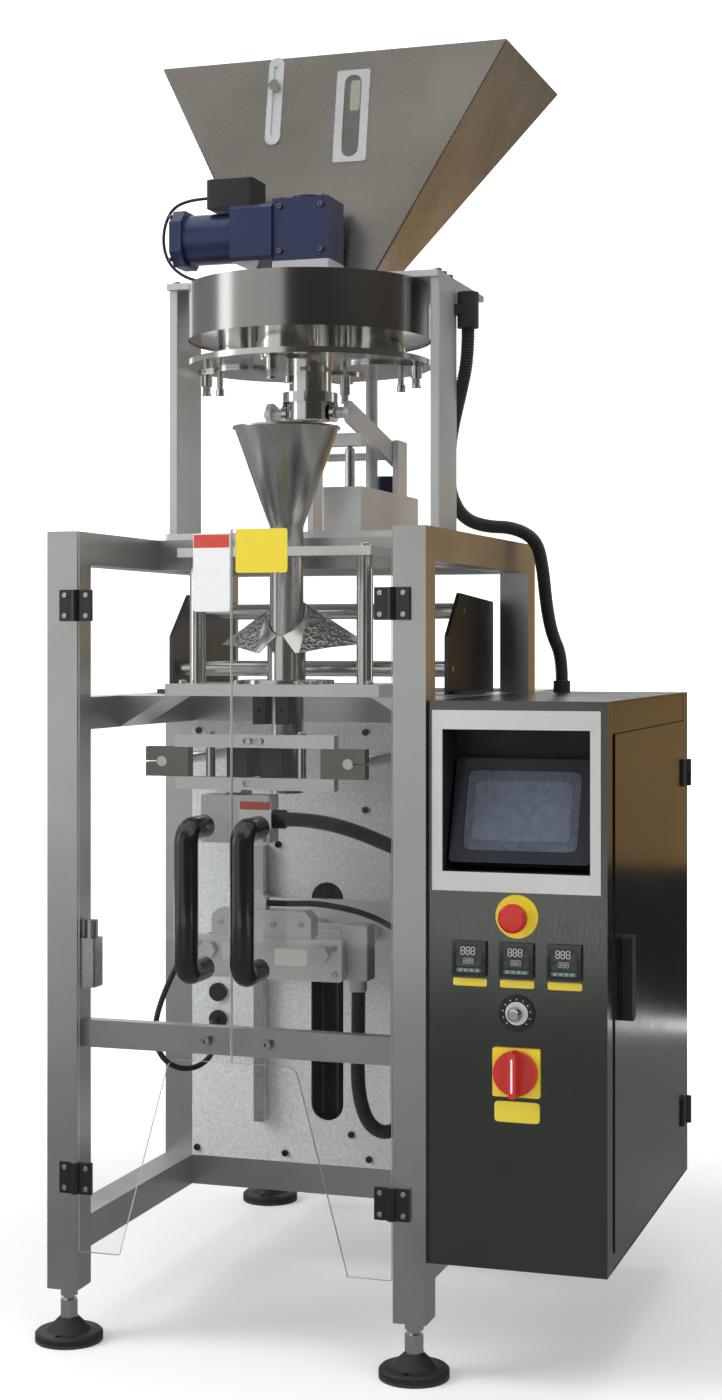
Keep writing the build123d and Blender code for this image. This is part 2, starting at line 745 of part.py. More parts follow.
# Lower disc: hub with its flange, disc, lower halves of the cups and the flap pins
flap_pivots = [(middle + flap_pivot_r * math.sin(math.radians(180 + step * 360 / cup_count)),
                drum_y + flap_pivot_r * math.cos(math.radians(180 + step * 360 / cup_count)))
               for step in range(cup_count)]
flap_pin_length = 34
with BuildPart() as lower_disc:
    rod((middle, drum_y, hub_bottom), "z", lower_disc_z - hub_bottom, hub_d)
    rod((middle, drum_y, hub_flange_z), "z", hub_flange_thick, hub_flange_d)
    with BuildSketch(Plane.XY.offset(lower_disc_z)):
        with Locations((middle, drum_y)):
            Circle(lower_disc_d / 2)
    extrude(amount=lower_disc_thick)
    with BuildSketch(Plane.XY.offset(lower_disc_z)):
        with Locations(*cup_places):
            Circle(lower_cup_outer)
    extrude(amount=lower_cup_top - lower_disc_z)
    with BuildSketch(Plane.XY.offset(lower_disc_z)):
        with Locations(*cup_places):
            Circle(lower_cup_inner)
    extrude(amount=lower_cup_top - lower_disc_z, mode=Mode.SUBTRACT)
    rod((middle, drum_y, hub_bottom), "z", lower_disc_z + lower_disc_thick - hub_bottom,
        shaft_d + 2 * running_fit, Mode.SUBTRACT)
    for x, y in flap_pivots:
        rod((x, y, lower_disc_z - flap_pin_length), "z", flap_pin_length, flap_pin_d)
        rod((x, y, lower_disc_z - flap_pin_length - 3), "z", 3, flap_pin_d + 5)
lower_disc.part.label = "lower_disc"
export_step(lower_disc.part, "parts/lower_disc.step")

# Flaps that close the cups from below, each on its pin, with a follower pin
flap_top = lower_disc_z - seat_gap
boss_height = 18
for number, ((x, y), (cup_x, cup_y)) in enumerate(zip(flap_pivots, cup_places), start=1):
    out = Vector(x - middle, y - drum_y, 0).normalized()
    side = Vector(-out.Y, out.X, 0)
    neck = 14
    with BuildPart() as flap:
        with BuildSketch(Plane.XY.offset(flap_top - flap_thick)):
            with Locations((cup_x, cup_y)):
                Circle(flap_reach)
            with BuildLine():
                Polyline((x + side.X * neck, y + side.Y * neck),
                         (cup_x + side.X * 34, cup_y + side.Y * 34),
                         (cup_x - side.X * 34, cup_y - side.Y * 34),
                         (x - side.X * neck, y - side.Y * neck), close=True)
            make_face()
            with Locations((x, y)):
                Circle(neck)
        extrude(amount=flap_thick)
        rod((x, y, flap_top - flap_thick - boss_height), "z", boss_height, flap_pin_d + 8)
        rod((x, y, flap_top - flap_thick - boss_height), "z", boss_height + flap_thick,
            flap_pin_d + 2 * running_fit, Mode.SUBTRACT)
        follower = (x - out.X * 30 + side.X * 18, y - out.Y * 30 + side.Y * 18)
        rod((*follower, flap_top - 40), "z", 40 - flap_thick, 8)
        rod((*follower, flap_top - 40), "z", 10, 14)
    flap.part.label = f"flap_{number}"
    export_step(flap.part, f"parts/flap_{number}.step")

# Lift case with the screw jack on the deck
with BuildPart() as jack_case:
    block(case_x, case_y, (deck_z, case_top))
    fillet(jack_case.edges().filter_by(Axis.Z), 3)
    rod((middle + jack_offset, front + jack_depth, case_top - 45), "z", 45, jack_d + 2 * running_fit, Mode.SUBTRACT)

arm_inner = fork_inside / 2
arm_outer = arm_inner + fork_arm
pivot_y = front + fork_pivot_depth
roller_z = hub_flange_z - seat_gap - fork_roller_d / 2
bracket_gap = 1
bracket_thick = 10
bracket_y = about(pivot_y, 25)
bracket_top = fork_pivot_z + 24
roller_from = hub_d / 2 + 1.5
roller_to = roller_from + fork_roller_width
roller_pin_d = 10
fork_pin_out = 7
with BuildPart() as fork_brackets:
    right_bracket = (middle + arm_outer + bracket_gap, middle + arm_outer + bracket_gap + bracket_thick)
    left_bracket = (middle - arm_outer - bracket_gap - bracket_thick, middle - arm_outer - bracket_gap)
    block(right_bracket, bracket_y, (case_top, bracket_top))
    block(left_bracket, bracket_y, (deck_z, bracket_top))
    rod((left_bracket[0], pivot_y, fork_pivot_z), "x", right_bracket[1] - left_bracket[0], fork_pin_d)
lift_base = Compound(made(jack_case) + made(fork_brackets))
lift_base.label = "lift_base"
export_step(lift_base, "parts/lift_base.step")

# Lift fork: two arms and a cross bar that rests on the jack screw
slope = (fork_pivot_z - roller_z) / (pivot_y - drum_y)
jack_y = front + jack_depth
bar_height = 20
bar_top = roller_z + slope * (jack_y - drum_y) - fork_arm_height / 2 + 4
with BuildPart() as lift_fork:
    for x in (middle - arm_outer, middle + arm_inner):
        with BuildSketch(Plane.YZ.offset(x)):
            with BuildLine():
                half = fork_arm_height / 2
                Polyline((drum_y, roller_z - half), (drum_y, roller_z + half),
                         (pivot_y, fork_pivot_z + half), (pivot_y, fork_pivot_z - half), close=True)
            make_face()
            with Locations((drum_y, roller_z), (pivot_y, fork_pivot_z)):
                Circle(fork_arm_height / 2)
            with Locations((pivot_y, fork_pivot_z)):
                Circle(fork_pin_d / 2 + running_fit, mode=Mode.SUBTRACT)
        extrude(amount=fork_arm)
    block(about(middle, arm_outer), about(jack_y, 14), (bar_top - bar_height, bar_top))
    for sign in (-1, 1):
        pin_ends = sorted((middle + sign * roller_from, middle + sign * (arm_outer + fork_pin_out)))
        rod((pin_ends[0], drum_y, roller_z), "x", pin_ends[1] - pin_ends[0], roller_pin_d)
        boss_ends = sorted((middle + sign * (roller_to + 1), middle + sign * arm_inner))
        rod((boss_ends[0], drum_y, roller_z), "x", boss_ends[1] - boss_ends[0], roller_pin_d + 8)
lift_fork.part.label = "lift_fork"
export_step(lift_fork.part, "parts/lift_fork.step")

for name, sign in (("fork_roller_left", -1), ("fork_roller_right", 1)):
    x_min = min(middle + sign * roller_from, middle + sign * roller_to)
    with BuildPart() as fork_roller:
        rod((x_min, drum_y, roller_z), "x", fork_roller_width, fork_roller_d)
        chamfer(fork_roller.edges().filter_by(GeomType.CIRCLE), 1)
        rod((x_min, drum_y, roller_z), "x", fork_roller_width, roller_pin_d + 2 * running_fit, Mode.SUBTRACT)
    fork_roller.part.label = name
    export_step(fork_roller.part, f"parts/{name}.step")

jack_engaged = 30
with BuildPart() as jack_screw:
    rod((middle + jack_offset, jack_y, case_top - jack_engaged), "z",
        bar_top - bar_height - seat_gap - case_top + jack_engaged, jack_d)
    chamfer(jack_screw.edges().filter_by(GeomType.CIRCLE).sort_by(Axis.Z)[-1], 5)
jack_screw.part.label = "jack_screw"
export_step(jack_screw.part, "parts/jack_screw.step")

with BuildPart() as lift_motor:
    rod((middle + case_offset - 16, front + 592, case_top), "z", 36, 42)
lift_motor.part.label = "lift_motor"
export_step(lift_motor.part, "parts/lift_motor.step")

# Hopper: four bent sheets on a short outlet
hopper_top_x = about(middle, hopper_top[0] / 2)
hopper_top_y = (front + hopper_top_depth, front + hopper_top_depth + hopper_top[1])


def hopper_side(bottom, top, inner_bottom, inner_top):
    """One mitred side of the hopper, from its outer and inner edges at both ends."""
    with BuildPart() as side_sheet:
        for z, outer, inner in ((hopper_bottom_z, bottom, inner_bottom), (hopper_top_z, top, inner_top)):
            with BuildSketch(Plane.XY.offset(z)):
                with BuildLine():
                    Polyline(outer[0], outer[1], inner[1], inner[0], close=True)
                make_face()
        loft(ruled=True)
    return made(side_sheet)


def corners(x_span, y_span, inset):
    """The four corners of a rectangle, counted round from the front left one."""
    x_min, x_max = x_span[0] + inset, x_span[1] - inset
    y_min, y_max = y_span[0] + inset, y_span[1] - inset
    return [(x_min, y_min), (x_max, y_min), (x_max, y_max), (x_min, y_max)]


low_outer = corners(hopper_x, hopper_y, -hopper_sheet)
low_inner = corners(hopper_x, hopper_y, 0)
high_outer = corners(hopper_top_x, hopper_top_y, 0)
high_inner = corners(hopper_top_x, hopper_top_y, hopper_sheet)
hopper_pieces = []
for here in range(4):
    following = (here + 1) % 4
    hopper_pieces += hopper_side((low_outer[here], low_outer[following]), (high_outer[here], high_outer[following]),
                                 (low_inner[here], low_inner[following]), (high_inner[here], high_inner[following]))
for here in range(4):
    following = (here + 1) % 4
    with BuildPart() as neck_sheet:
        with BuildSketch(Plane.XY.offset(plate_top)):
            with BuildLine():
                Polyline(low_outer[here], low_outer[following], low_inner[following], low_inner[here], close=True)
            make_face()
        extrude(amount=hopper_bottom_z - plate_top)
    hopper_pieces += made(neck_sheet)
hopper = Compound(hopper_pieces)
hopper.label = "hopper"
export_step(hopper, "parts/hopper.step")

# Window and gate slide on the hopper's front sheet
panel_rise = hopper_top_z - hopper_bottom_z
panel_lean = hopper_top_y[0] - (hopper_y[0] - hopper_sheet)
panel_out = Vector(0, -panel_rise, panel_lean).normalized()


def on_hopper_front(x, z, lift):
    """A plane on the hopper's front sheet, facing out, at height z."""
    share = (z - hopper_bottom_z) / panel_rise
    foot = Vector(x, hopper_y[0] - hopper_sheet + panel_lean * share, z)
    return Plane(origin=foot + panel_out * lift, x_dir=(1, 0, 0), z_dir=panel_out)


window_x = middle + 43
window_z = 1877
window_size = (56, 156)
window_glass = (29, 139)
frame_sheet = 3
with BuildPart() as window_frame:
    with BuildSketch(on_hopper_front(window_x, window_z, 0)):
        RectangleRounded(*window_size, 4)
        SlotOverall(window_glass[1], window_glass[0], rotation=90, mode=Mode.SUBTRACT)
    extrude(amount=frame_sheet)
    with BuildSketch(on_hopper_front(window_x, window_z, 0)):
        SlotOverall(window_glass[1], window_glass[0], rotation=90)
    extrude(amount=1)

gate_x = middle - 91
gate_z = 1912
gate_plate_size = (26, 150)
gate_slot = (8, 120)
gate_rest = 24
with BuildPart() as gate_plate:
    with BuildSketch(on_hopper_front(gate_x, gate_z, 0)):
        SlotOverall(gate_plate_size[1], gate_plate_size[0], rotation=90)
    extrude(amount=frame_sheet)
    with BuildSketch(on_hopper_front(gate_x, gate_z, 1)):
        SlotOverall(gate_slot[1], gate_slot[0], rotation=90)
    extrude(amount=frame_sheet, mode=Mode.SUBTRACT)
hopper_fittings = Compound(made(window_frame) + made(gate_plate))
hopper_fittings.label = "hopper_fittings"
export_step(hopper_fittings, "parts/hopper_fittings.step")

with BuildPart() as gate_screw:
    with BuildSketch(on_hopper_front(gate_x, gate_z + gate_rest, frame_sheet + seat_gap)):
        Circle(9)
    extrude(amount=9)
    with BuildSketch(on_hopper_front(gate_x, gate_z + gate_rest, 1 + seat_gap)):
        Circle(gate_slot[0] / 2 - 0.3)
    extrude(amount=4)
gate_screw.part.label = "gate_screw"
export_step(gate_screw.part, "parts/gate_screw.step")

# Gear motor over the drum


def motor_stage(x_span, size, corner):
    """One housing of the motor: a square section with cut corners, along X."""
    with BuildSketch(Plane.YZ.offset(x_span[0])) as section:
        with Locations((gear_y, motor_z)):
            Rectangle(size, size)
        chamfer(section.vertices(), corner)
    extrude(section.sketch, amount=x_span[1] - x_span[0])


with BuildPart() as motor_body:
    motor_stage((middle + motor_run[0], middle + motor_run[0] + 20), motor_size, 20)
    rod((middle + motor_run[0], gear_y, motor_z), "x", motor_run[1] - motor_run[0], motor_size - 8)
    motor_stage((middle + motor_run[1], middle + head_run[1]), motor_size, 6)
    block(about(middle, gearbox_size[0] / 2), about(gear_y, gearbox_size[1] / 2),
          (plate_top + mount_size[2], plate_top + mount_size[2] + gearbox_size[2]))
    rod((middle, gear_y, plate_top + mount_size[2] + gearbox_size[2]), "z", 6, 52)

box_z = (motor_z + motor_size / 2, motor_z + motor_size / 2 + motor_box_size[2])
motor_box_x = middle - 161
with BuildPart() as motor_box:
    block((motor_box_x, motor_box_x + motor_box_size[0]), about(gear_y, motor_box_size[1] / 2), box_z)
    fillet(motor_box.edges().filter_by(Axis.Z), 6)
gear_motor = Compound(made(motor_body) + made(motor_box))
gear_motor.label = "gear_motor"
export_step(gear_motor, "parts/gear_motor.step")

# Jaw unit: a plate on four rail carriages, the fixed cylinder and the drive arm
plate_x = about(middle, carriage_plate[0] / 2)
carriage_y = (front + carriage_depth, front + carriage_depth + carriage_plate[1])
carriage_span = (carriage_z, carriage_z + carriage_plate[2])
rod_xs = about(middle, jaw_rod_spread / 2)
with BuildPart() as jaw_carriage:
    block(plate_x, carriage_y, carriage_span)
    for rail_x in about(middle, rail_spread / 2):
        for block_z in (carriage_span[0], carriage_span[1] - 40):
            block(about(rail_x, 17), (carriage_y[1], rail_y[1] - 4), (block_z, block_z + 40))
            block(about(rail_x, guide_rail[0] / 2 + running_fit), (rail_y[0] - running_fit, rail_y[1]),
                  (block_z, block_z + 40), Mode.SUBTRACT)
    block(about(slot_x, 10), (carriage_y[1], mid_y + 30), (carriage_span[0] + 20, carriage_span[0] + 55))
    for x in rod_xs:
        rod((x, carriage_y[0] - 24, jaw_rod_z), "y", 24, jaw_rod_d + 12)
        rod((x, carriage_y[0] - 24, jaw_rod_z), "y", 24 + carriage_plate[1], jaw_rod_d + 2 * running_fit, Mode.SUBTRACT)
    rod((middle, carriage_y[0] - jaw_cylinder_run, jaw_rod_z), "y", jaw_cylinder_run, jaw_cylinder_d)
    rod((middle, carriage_y[0] - jaw_cylinder_run, jaw_rod_z), "y", jaw_cylinder_run, piston_d + 2 * running_fit,
        Mode.SUBTRACT)
jaw_carriage.part.label = "jaw_carriage"
export_step(jaw_carriage.part, "parts/jaw_carriage.step")

beam_y = (front + jaw_beam_depth, front + jaw_beam_depth + jaw_beam[1])
with BuildPart() as front_beam:
    block(about(middle, jaw_beam[0] / 2), beam_y, (jaw_z, jaw_z + jaw_beam[2]))
    fillet(front_beam.edges().filter_by(Axis.Y), 5)
    for x in rod_xs:
        rod((x, beam_y[1], jaw_rod_z), "y", carriage_y[0] + 4 - beam_y[1], jaw_rod_d)
        with BuildSketch(Plane.XZ.offset(-beam_y[0])):
            with Locations((x, jaw_rod_z)):
                RegularPolygon(13, 6)
        extrude(amount=11)

with BuildPart() as front_heater:
    block(about(middle, jaw_bar[0] / 2 - 16), (beam_y[1], beam_y[1] + jaw_bar[1]), about(jaw_rod_z, jaw_bar[2] / 2))
    block((middle - 89, middle - 89 + jaw_block[0]), (beam_y[0] + 6, beam_y[0] + 6 + jaw_block[1]),
          (jaw_z + jaw_beam[2], jaw_z + jaw_beam[2] + jaw_block[2]))
    chamfer(front_heater.edges().filter_by(Axis.Y).group_by(Axis.Z)[-1], 10)
    fitting_z = jaw_z + jaw_beam[2] + jaw_block[2]
    block((middle - 30, middle - 4), about(beam_y[0] + 6 + jaw_block[1] / 2, 8), (fitting_z, fitting_z + 18))
front_jaw = Compound(made(front_beam) + made(front_heater))
front_jaw.label = "front_jaw"
export_step(front_jaw, "parts/front_jaw.step")

rear_y_span = (front + rear_jaw_depth, front + rear_jaw_depth + 46)
with BuildPart() as rear_jaw:
    block(about(middle, jaw_bar[0] / 2 + 20), (rear_y_span[0] + 26, rear_y_span[1]), about(jaw_rod_z, 24))
    block(about(middle, jaw_bar[0] / 2 - 16), (rear_y_span[0], rear_y_span[0] + 26), about(jaw_rod_z, jaw_bar[2] / 2))
    for x in rod_xs:
        rod((x, rear_y_span[0] + 26, jaw_rod_z), "y", 20, jaw_rod_d + 2 * running_fit, Mode.SUBTRACT)
    rod((middle, rear_y_span[1], jaw_rod_z), "y", carriage_y[0] - 5 - rear_y_span[1], piston_d)
    rod((middle - 135, rear_y_span[1] - 10, jaw_rod_z), "x", 20, 14)
rear_jaw.part.label = "rear_jaw"
export_step(rear_jaw.part, "parts/rear_jaw.step")

jaw_box_x = (middle + jaw_box_offset, middle + jaw_box_offset + jaw_box[0])
jaw_box_y = (beam_y[1] + 5, beam_y[1] + 5 + jaw_box[1])
with BuildPart() as jaw_box_part:
    block(jaw_box_x, jaw_box_y, (jaw_z, jaw_z + jaw_box[2]))
    fillet(jaw_box_part.edges().filter_by(Axis.Z), 3)
    block((jaw_box_x[0] - 10, jaw_box_x[0]), (beam_y[1], beam_y[1] + 12), (jaw_z + 10, jaw_z + 40))
    rod((sum(jaw_box_x) / 2, sum(jaw_box_y) / 2, jaw_z - jaw_gland), "z", jaw_gland, 26)
jaw_box_part.part.label = "jaw_box"
export_step(jaw_box_part.part, "parts/jaw_box.step")

# Doors
door_meeting = middle
hinge_pin_y = front - hinge_leaf
door_y = (front, front + door_sheet)
hinge_spans = [(z, z + hinge_height) for z in hinge_levels]


def door_outline(sign):
    """The outline of one door in X and Z: straight sides and a cut-out for the bags at its lower inner corner."""
    outer = middle + sign * (frame_width / 2 - tube - door_gap)
    inner = middle + sign * door_gap / 2
    low_inner_x = middle + sign * 97
    low_outer_x = middle + sign * 175
    with BuildLine() as edge_line:
        Polyline((outer, door_low), (low_outer_x, door_low), (low_inner_x, door_high), (inner, door_high),
                 (inner, door_top), (outer, door_top), close=True)
    make_face(edge_line.edges())


for name, sign in (("door_left", -1), ("door_right", 1)):
    with BuildPart() as door_panel:
        with BuildSketch(Plane.XZ.offset(-door_y[1])):
            door_outline(sign)
        extrude(amount=door_sheet)
        bend = door_panel.edges().filter_by(Axis.Y).sort_by_distance((middle + sign * 97, front, door_high))[0]
        fillet(bend, door_cut_radius)
    door_panel.part.label = f"{name}_panel"
    export_step(door_panel.part, f"parts/{name}_panel.step")

    handle_x = middle + sign * handle_inset
    handle_y = front - handle_reach
    handle_pieces = []
    with BuildPart() as handle:
        grip_inset = handle_d / 2
        with BuildLine() as handle_line:
            FilletPolyline((handle_x, front, handle_bottom + grip_inset), (handle_x, handle_y, handle_bottom + grip_inset),
                           (handle_x, handle_y, handle_top - grip_inset), (handle_x, front, handle_top - grip_inset),
                           radius=handle_d / 2 + 4)
        with BuildSketch(Plane(origin=(handle_x, front, handle_bottom + grip_inset), z_dir=(0, -1, 0))):
            Circle(handle_d / 2)
        sweep()
    handle_pieces += made(handle)
    hinge_x = middle + sign * (frame_width / 2 - tube)
    for z_min, z_max in hinge_spans:
        with BuildPart() as door_leaf:
            block(sorted((hinge_x - sign * hinge_width / 2, hinge_x - sign)), (front - hinge_leaf, front), (z_min, z_max))
            rod((hinge_x, hinge_pin_y, z_min), "z", hinge_height, hinge_knuckle_d + 2 * seat_gap, Mode.SUBTRACT)
            rod((hinge_x, hinge_pin_y, z_min + 15), "z", hinge_height - 30, hinge_knuckle_d)
            block(sorted((hinge_x - sign * 8, hinge_x)), (front - hinge_leaf, front), (z_min + 15, z_max - 15))
        handle_pieces += made(door_leaf)
    fittings = Compound(handle_pieces)
    fittings.label = f"{name}_fittings"
    export_step(fittings, f"parts/{name}_fittings.step")

# Fixed hinge leaves on the front posts
leaf_pieces = []
for sign in (-1, 1):
    hinge_x = middle + sign * (frame_width / 2 - tube)
    for z_min, z_max in hinge_spans:
        with BuildPart() as post_leaf:
            block(sorted((hinge_x + sign, hinge_x + sign * hinge_width / 2)), (front - hinge_leaf, front), (z_min, z_max))
            for knuckle_z in (z_min, z_max - 15 + seat_gap):
                rod((hinge_x, hinge_pin_y, knuckle_z), "z", 15 - seat_gap, hinge_knuckle_d)
                block(sorted((hinge_x + sign * 8, hinge_x)), (front - hinge_leaf, front),
                      (knuckle_z, knuckle_z + 15 - seat_gap))
            rod((hinge_x, hinge_pin_y, z_min + 15 - seat_gap), "z", hinge_height - 30 + 2 * seat_gap,
                hinge_knuckle_d + 2 * seat_gap, Mode.SUBTRACT)
        leaf_pieces += made(post_leaf)

# Cabinet: five flat sheets, open on the right for the side door
cabinet_x_span = (cabinet_left, cabinet_right)
cabinet_y_span = (cabinet_y, front + cabinet_back)
cabinet_z_span = (cabinet_bottom, cabinet_top)
shell_pieces = []
for x_span, y_span, z_span in (
        ((cabinet_left, cabinet_left + sheet), cabinet_y_span, cabinet_z_span),
        ((cabinet_left + sheet, cabinet_right), (cabinet_y_span[1] - sheet, cabinet_y_span[1]), cabinet_z_span),
        ((cabinet_left + sheet, cabinet_right), (cabinet_y + sheet, cabinet_y_span[1] - sheet),
         (cabinet_bottom, cabinet_bottom + sheet)),
        ((cabinet_left + sheet, cabinet_right), (cabinet_y + sheet, cabinet_y_span[1] - sheet),
         (cabinet_top - sheet, cabinet_top)),
        ((cabinet_right - sheet, cabinet_right), (cabinet_y + sheet, cabinet_y + 42),
         (cabinet_bottom + sheet, cabinet_top - sheet)),
        ((cabinet_right - sheet, cabinet_right), (cabinet_y_span[1] - 42, cabinet_y_span[1] - sheet),
         (cabinet_bottom + sheet, cabinet_top - sheet)),
        ((cabinet_left + 20, cabinet_left + 22), (cabinet_y + 100, cabinet_y_span[1] - 60),
         (cabinet_bottom + 40, cabinet_top - 60)),
        ((cabinet_left + sheet, cabinet_left + 20), (cabinet_y + 120, cabinet_y + 150),
         (cabinet_bottom + 40, cabinet_top - 60)),
        ((cabinet_left + sheet, cabinet_left + 20), (cabinet_y_span[1] - 110, cabinet_y_span[1] - 80),
         (cabinet_bottom + 40, cabinet_top - 60))):
    with BuildPart() as cabinet_sheet:
        block(x_span, y_span, z_span)
    shell_pieces += made(cabinet_sheet)
recess_x = about(cabinet_x - 1.5, recess_width / 2)
recess_z = about(bezel_z, recess_height / 2)
with BuildPart() as cabinet_panel:
    block((cabinet_left + sheet, cabinet_right), (cabinet_y, cabinet_y + sheet), cabinet_z_span)
    block(recess_x, (cabinet_y, cabinet_y + sheet), recess_z, Mode.SUBTRACT)
cabinet_shell = Compound(shell_pieces + made(cabinet_panel))
cabinet_shell.label = "cabinet_shell"
export_step(cabinet_shell, "parts/cabinet_shell.step")

with BuildPart() as bezel:
    block(about(cabinet_x - 1.5, bezel_width / 2), (cabinet_y - bezel_thick, cabinet_y), about(bezel_z, bezel_height / 2))
    block(recess_x, (cabinet_y - bezel_thick, cabinet_y), recess_z, Mode.SUBTRACT)

tray_pieces = made(bezel)
tray_y = (cabinet_y + sheet, cabinet_y + recess_depth)
for x_span, y_span, z_span in (
        ((recess_x[0] - sheet, recess_x[0]), tray_y, (recess_z[0] - sheet, recess_z[1] + sheet)),
        ((recess_x[1], recess_x[1] + sheet), tray_y, (recess_z[0] - sheet, recess_z[1] + sheet)),
        (recess_x, tray_y, (recess_z[0] - sheet, recess_z[0])),
        (recess_x, tray_y, (recess_z[1], recess_z[1] + sheet)),
        ((recess_x[0] - sheet, recess_x[1] + sheet), (tray_y[1], tray_y[1] + sheet),
         (recess_z[0] - sheet, recess_z[1] + sheet))):
    with BuildPart() as tray_sheet:
        block(x_span, y_span, z_span)
    tray_pieces += made(tray_sheet)
screen_bezel = Compound(tray_pieces)
screen_bezel.label = "screen_bezel"
export_step(screen_bezel, "parts/screen_bezel.step")

# Touch screen, leaning back in the tray
lean = math.radians(screen_lean)
screen_out = Vector(0, -math.cos(lean), math.sin(lean))
screen_back = (screen_height / 2) * math.sin(lean)
screen_centre = Vector(cabinet_x - 1.5, cabinet_y + 12 + screen_back, recess_z[0] + 12 + screen_height / 2 * math.cos(lean))
screen_plane = Plane(origin=screen_centre, x_dir=(1, 0, 0), z_dir=screen_out)
with BuildPart() as touch_screen:
    with BuildSketch(screen_plane):
        RectangleRounded(screen_width, screen_height, 6)
    extrude(amount=-6)
    with BuildSketch(screen_plane.offset(-6)):
        Rectangle(screen_width - 16, screen_height - 16)
    extrude(amount=-(screen_thick - 6))
    with BuildSketch(screen_plane):
        Rectangle(screen_width - 36, screen_height - 34)
    extrude(amount=-1.5, mode=Mode.SUBTRACT)
    block(about(cabinet_x - 1.5, 30), (cabinet_y + 40, tray_y[1]), (recess_z[0] + 40, recess_z[0] + 60))
touch_screen.part.label = "touch_screen"
export_step(touch_screen.part, "parts/touch_screen.step")

# Controllers, plates and dials on the cabinet's front
panel_y = cabinet_y
controller_xs = [cabinet_x + step * controller_pitch for step in (-1, 0, 1)]
with BuildPart() as controllers:
    for x in controller_xs:
        block(about(x, controller_size / 2), (panel_y - controller_depth, panel_y), about(controller_z, controller_size / 2))
        block(about(x, controller_size / 2 - 4), (panel_y - controller_depth, panel_y - controller_depth + 1.5),
              about(controller_z, controller_size / 2 - 4), Mode.SUBTRACT)
controllers.part.label = "controllers"
export_step(controllers.part, "parts/controllers.step")

stop_ring_d = 60
stop_collar_d = 29
stop_stem_d = 22
stop_head_d = 40
stop_travel = 5
with BuildPart() as stop_base:
    rod((cabinet_x, panel_y - 2, stop_z), "y", 2, stop_ring_d)
    rod((cabinet_x, panel_y - 12, stop_z), "y", 10, stop_collar_d)
    rod((cabinet_x, panel_y - 12, stop_z), "y", 12, stop_stem_d + 2 * running_fit, Mode.SUBTRACT)

stop_plane = Plane(origin=(cabinet_x, 0, stop_z), x_dir=(1, 0, 0), z_dir=(0, 0, 1))
with BuildPart() as stop_button:
    with BuildSketch(stop_plane):
        with BuildLine():
            stem_r = stop_stem_d / 2
            Polyline((0, panel_y - stop_travel - 1), (stem_r, panel_y - stop_travel - 1), (stem_r, panel_y - 18),
                     (stop_head_d / 2 - 2, panel_y - 18), (stop_head_d / 2, panel_y - 21),
                     (stop_head_d / 2, panel_y - 28), (stop_head_d / 2 - 4, panel_y - 34),
                     (0, panel_y - 35), close=True)
        make_face()
    revolve(axis=Axis((cabinet_x, 0, stop_z), (0, 1, 0)))
stop_button.part.label = "stop_button"
export_step(stop_button.part, "parts/stop_button.step")

with BuildPart() as dial_plate:
    rod((cabinet_x, panel_y - 3, dial_z), "y", 3, 51)
    rod((cabinet_x, panel_y - 8, dial_z), "y", 5, 14)

with BuildPart() as speed_knob:
    rod((cabinet_x, panel_y - 8 - seat_gap - 14, dial_z), "y", 14, 16)
    rod((cabinet_x, panel_y - 8 - seat_gap - 5, dial_z), "y", 5, 22)
    chamfer(speed_knob.edges().filter_by(GeomType.CIRCLE).group_by(Axis.Y)[0], 1.5)
speed_knob.part.label = "speed_knob"
export_step(speed_knob.part, "parts/speed_knob.step")

with BuildPart() as switch_base:
    block(about(cabinet_x, switch_plate / 2), (panel_y - 6, panel_y), about(switch_z, switch_plate / 2))
    fillet(switch_base.edges().filter_by(Axis.Y), 3)
control_bases = Compound(made(stop_base) + made(dial_plate) + made(switch_base))
control_bases.label = "control_bases"
export_step(control_bases, "parts/control_bases.step")

with BuildPart() as main_switch:
    rod((cabinet_x, panel_y - 6 - seat_gap - 8, switch_z), "y", 8, 62)
    with BuildSketch(Plane.XZ.offset(-(panel_y - 6 - seat_gap - 8))):
        with Locations((cabinet_x, switch_z)):
            SlotOverall(66, 15, rotation=90)
    extrude(amount=18, taper=6)
main_switch.part.label = "main_switch"
export_step(main_switch.part, "parts/main_switch.step")

# Side door of the cabinet with its hinges and lock
side_door_y = (front + 53, front + 615)
side_door_z = (190, 903)
side_hinge_d = 12
side_pin_x = cabinet_right + side_hinge_d / 2
side_pin_y = front + 628
with BuildPart() as side_door:
    block((cabinet_right, cabinet_right + side_door_sheet), side_door_y, side_door_z)
side_door_pieces = made(side_door)
for z_min in (250, 798):
    with BuildPart() as side_leaf:
        block((cabinet_right + side_door_sheet, cabinet_right + side_door_sheet + 4), (side_door_y[1] - 24, side_pin_y), (z_min, z_min + 43))
        rod((side_pin_x, side_pin_y, z_min + 22), "z", 21, side_hinge_d)
        block((cabinet_right, cabinet_right + side_door_sheet), (side_door_y[1], side_pin_y + side_hinge_d), (z_min, z_min + 43), Mode.SUBTRACT)
        block((cabinet_right, cabinet_right + side_hinge_d), (side_door_y[1] + 6, side_pin_y + side_hinge_d), (z_min, z_min + 22), Mode.SUBTRACT)
    side_door_pieces += made(side_leaf)
with BuildPart() as side_lock:
    block((cabinet_right + side_door_sheet, cabinet_right + side_door_sheet + lock_depth), (front + 103, front + 129), (500, 620))
    fillet(side_lock.edges().filter_by(Axis.X), 8)
side_door_pieces += made(side_lock)
cabinet_door = Compound(side_door_pieces)
cabinet_door.label = "cabinet_door"
export_step(cabinet_door, "parts/cabinet_door.step")

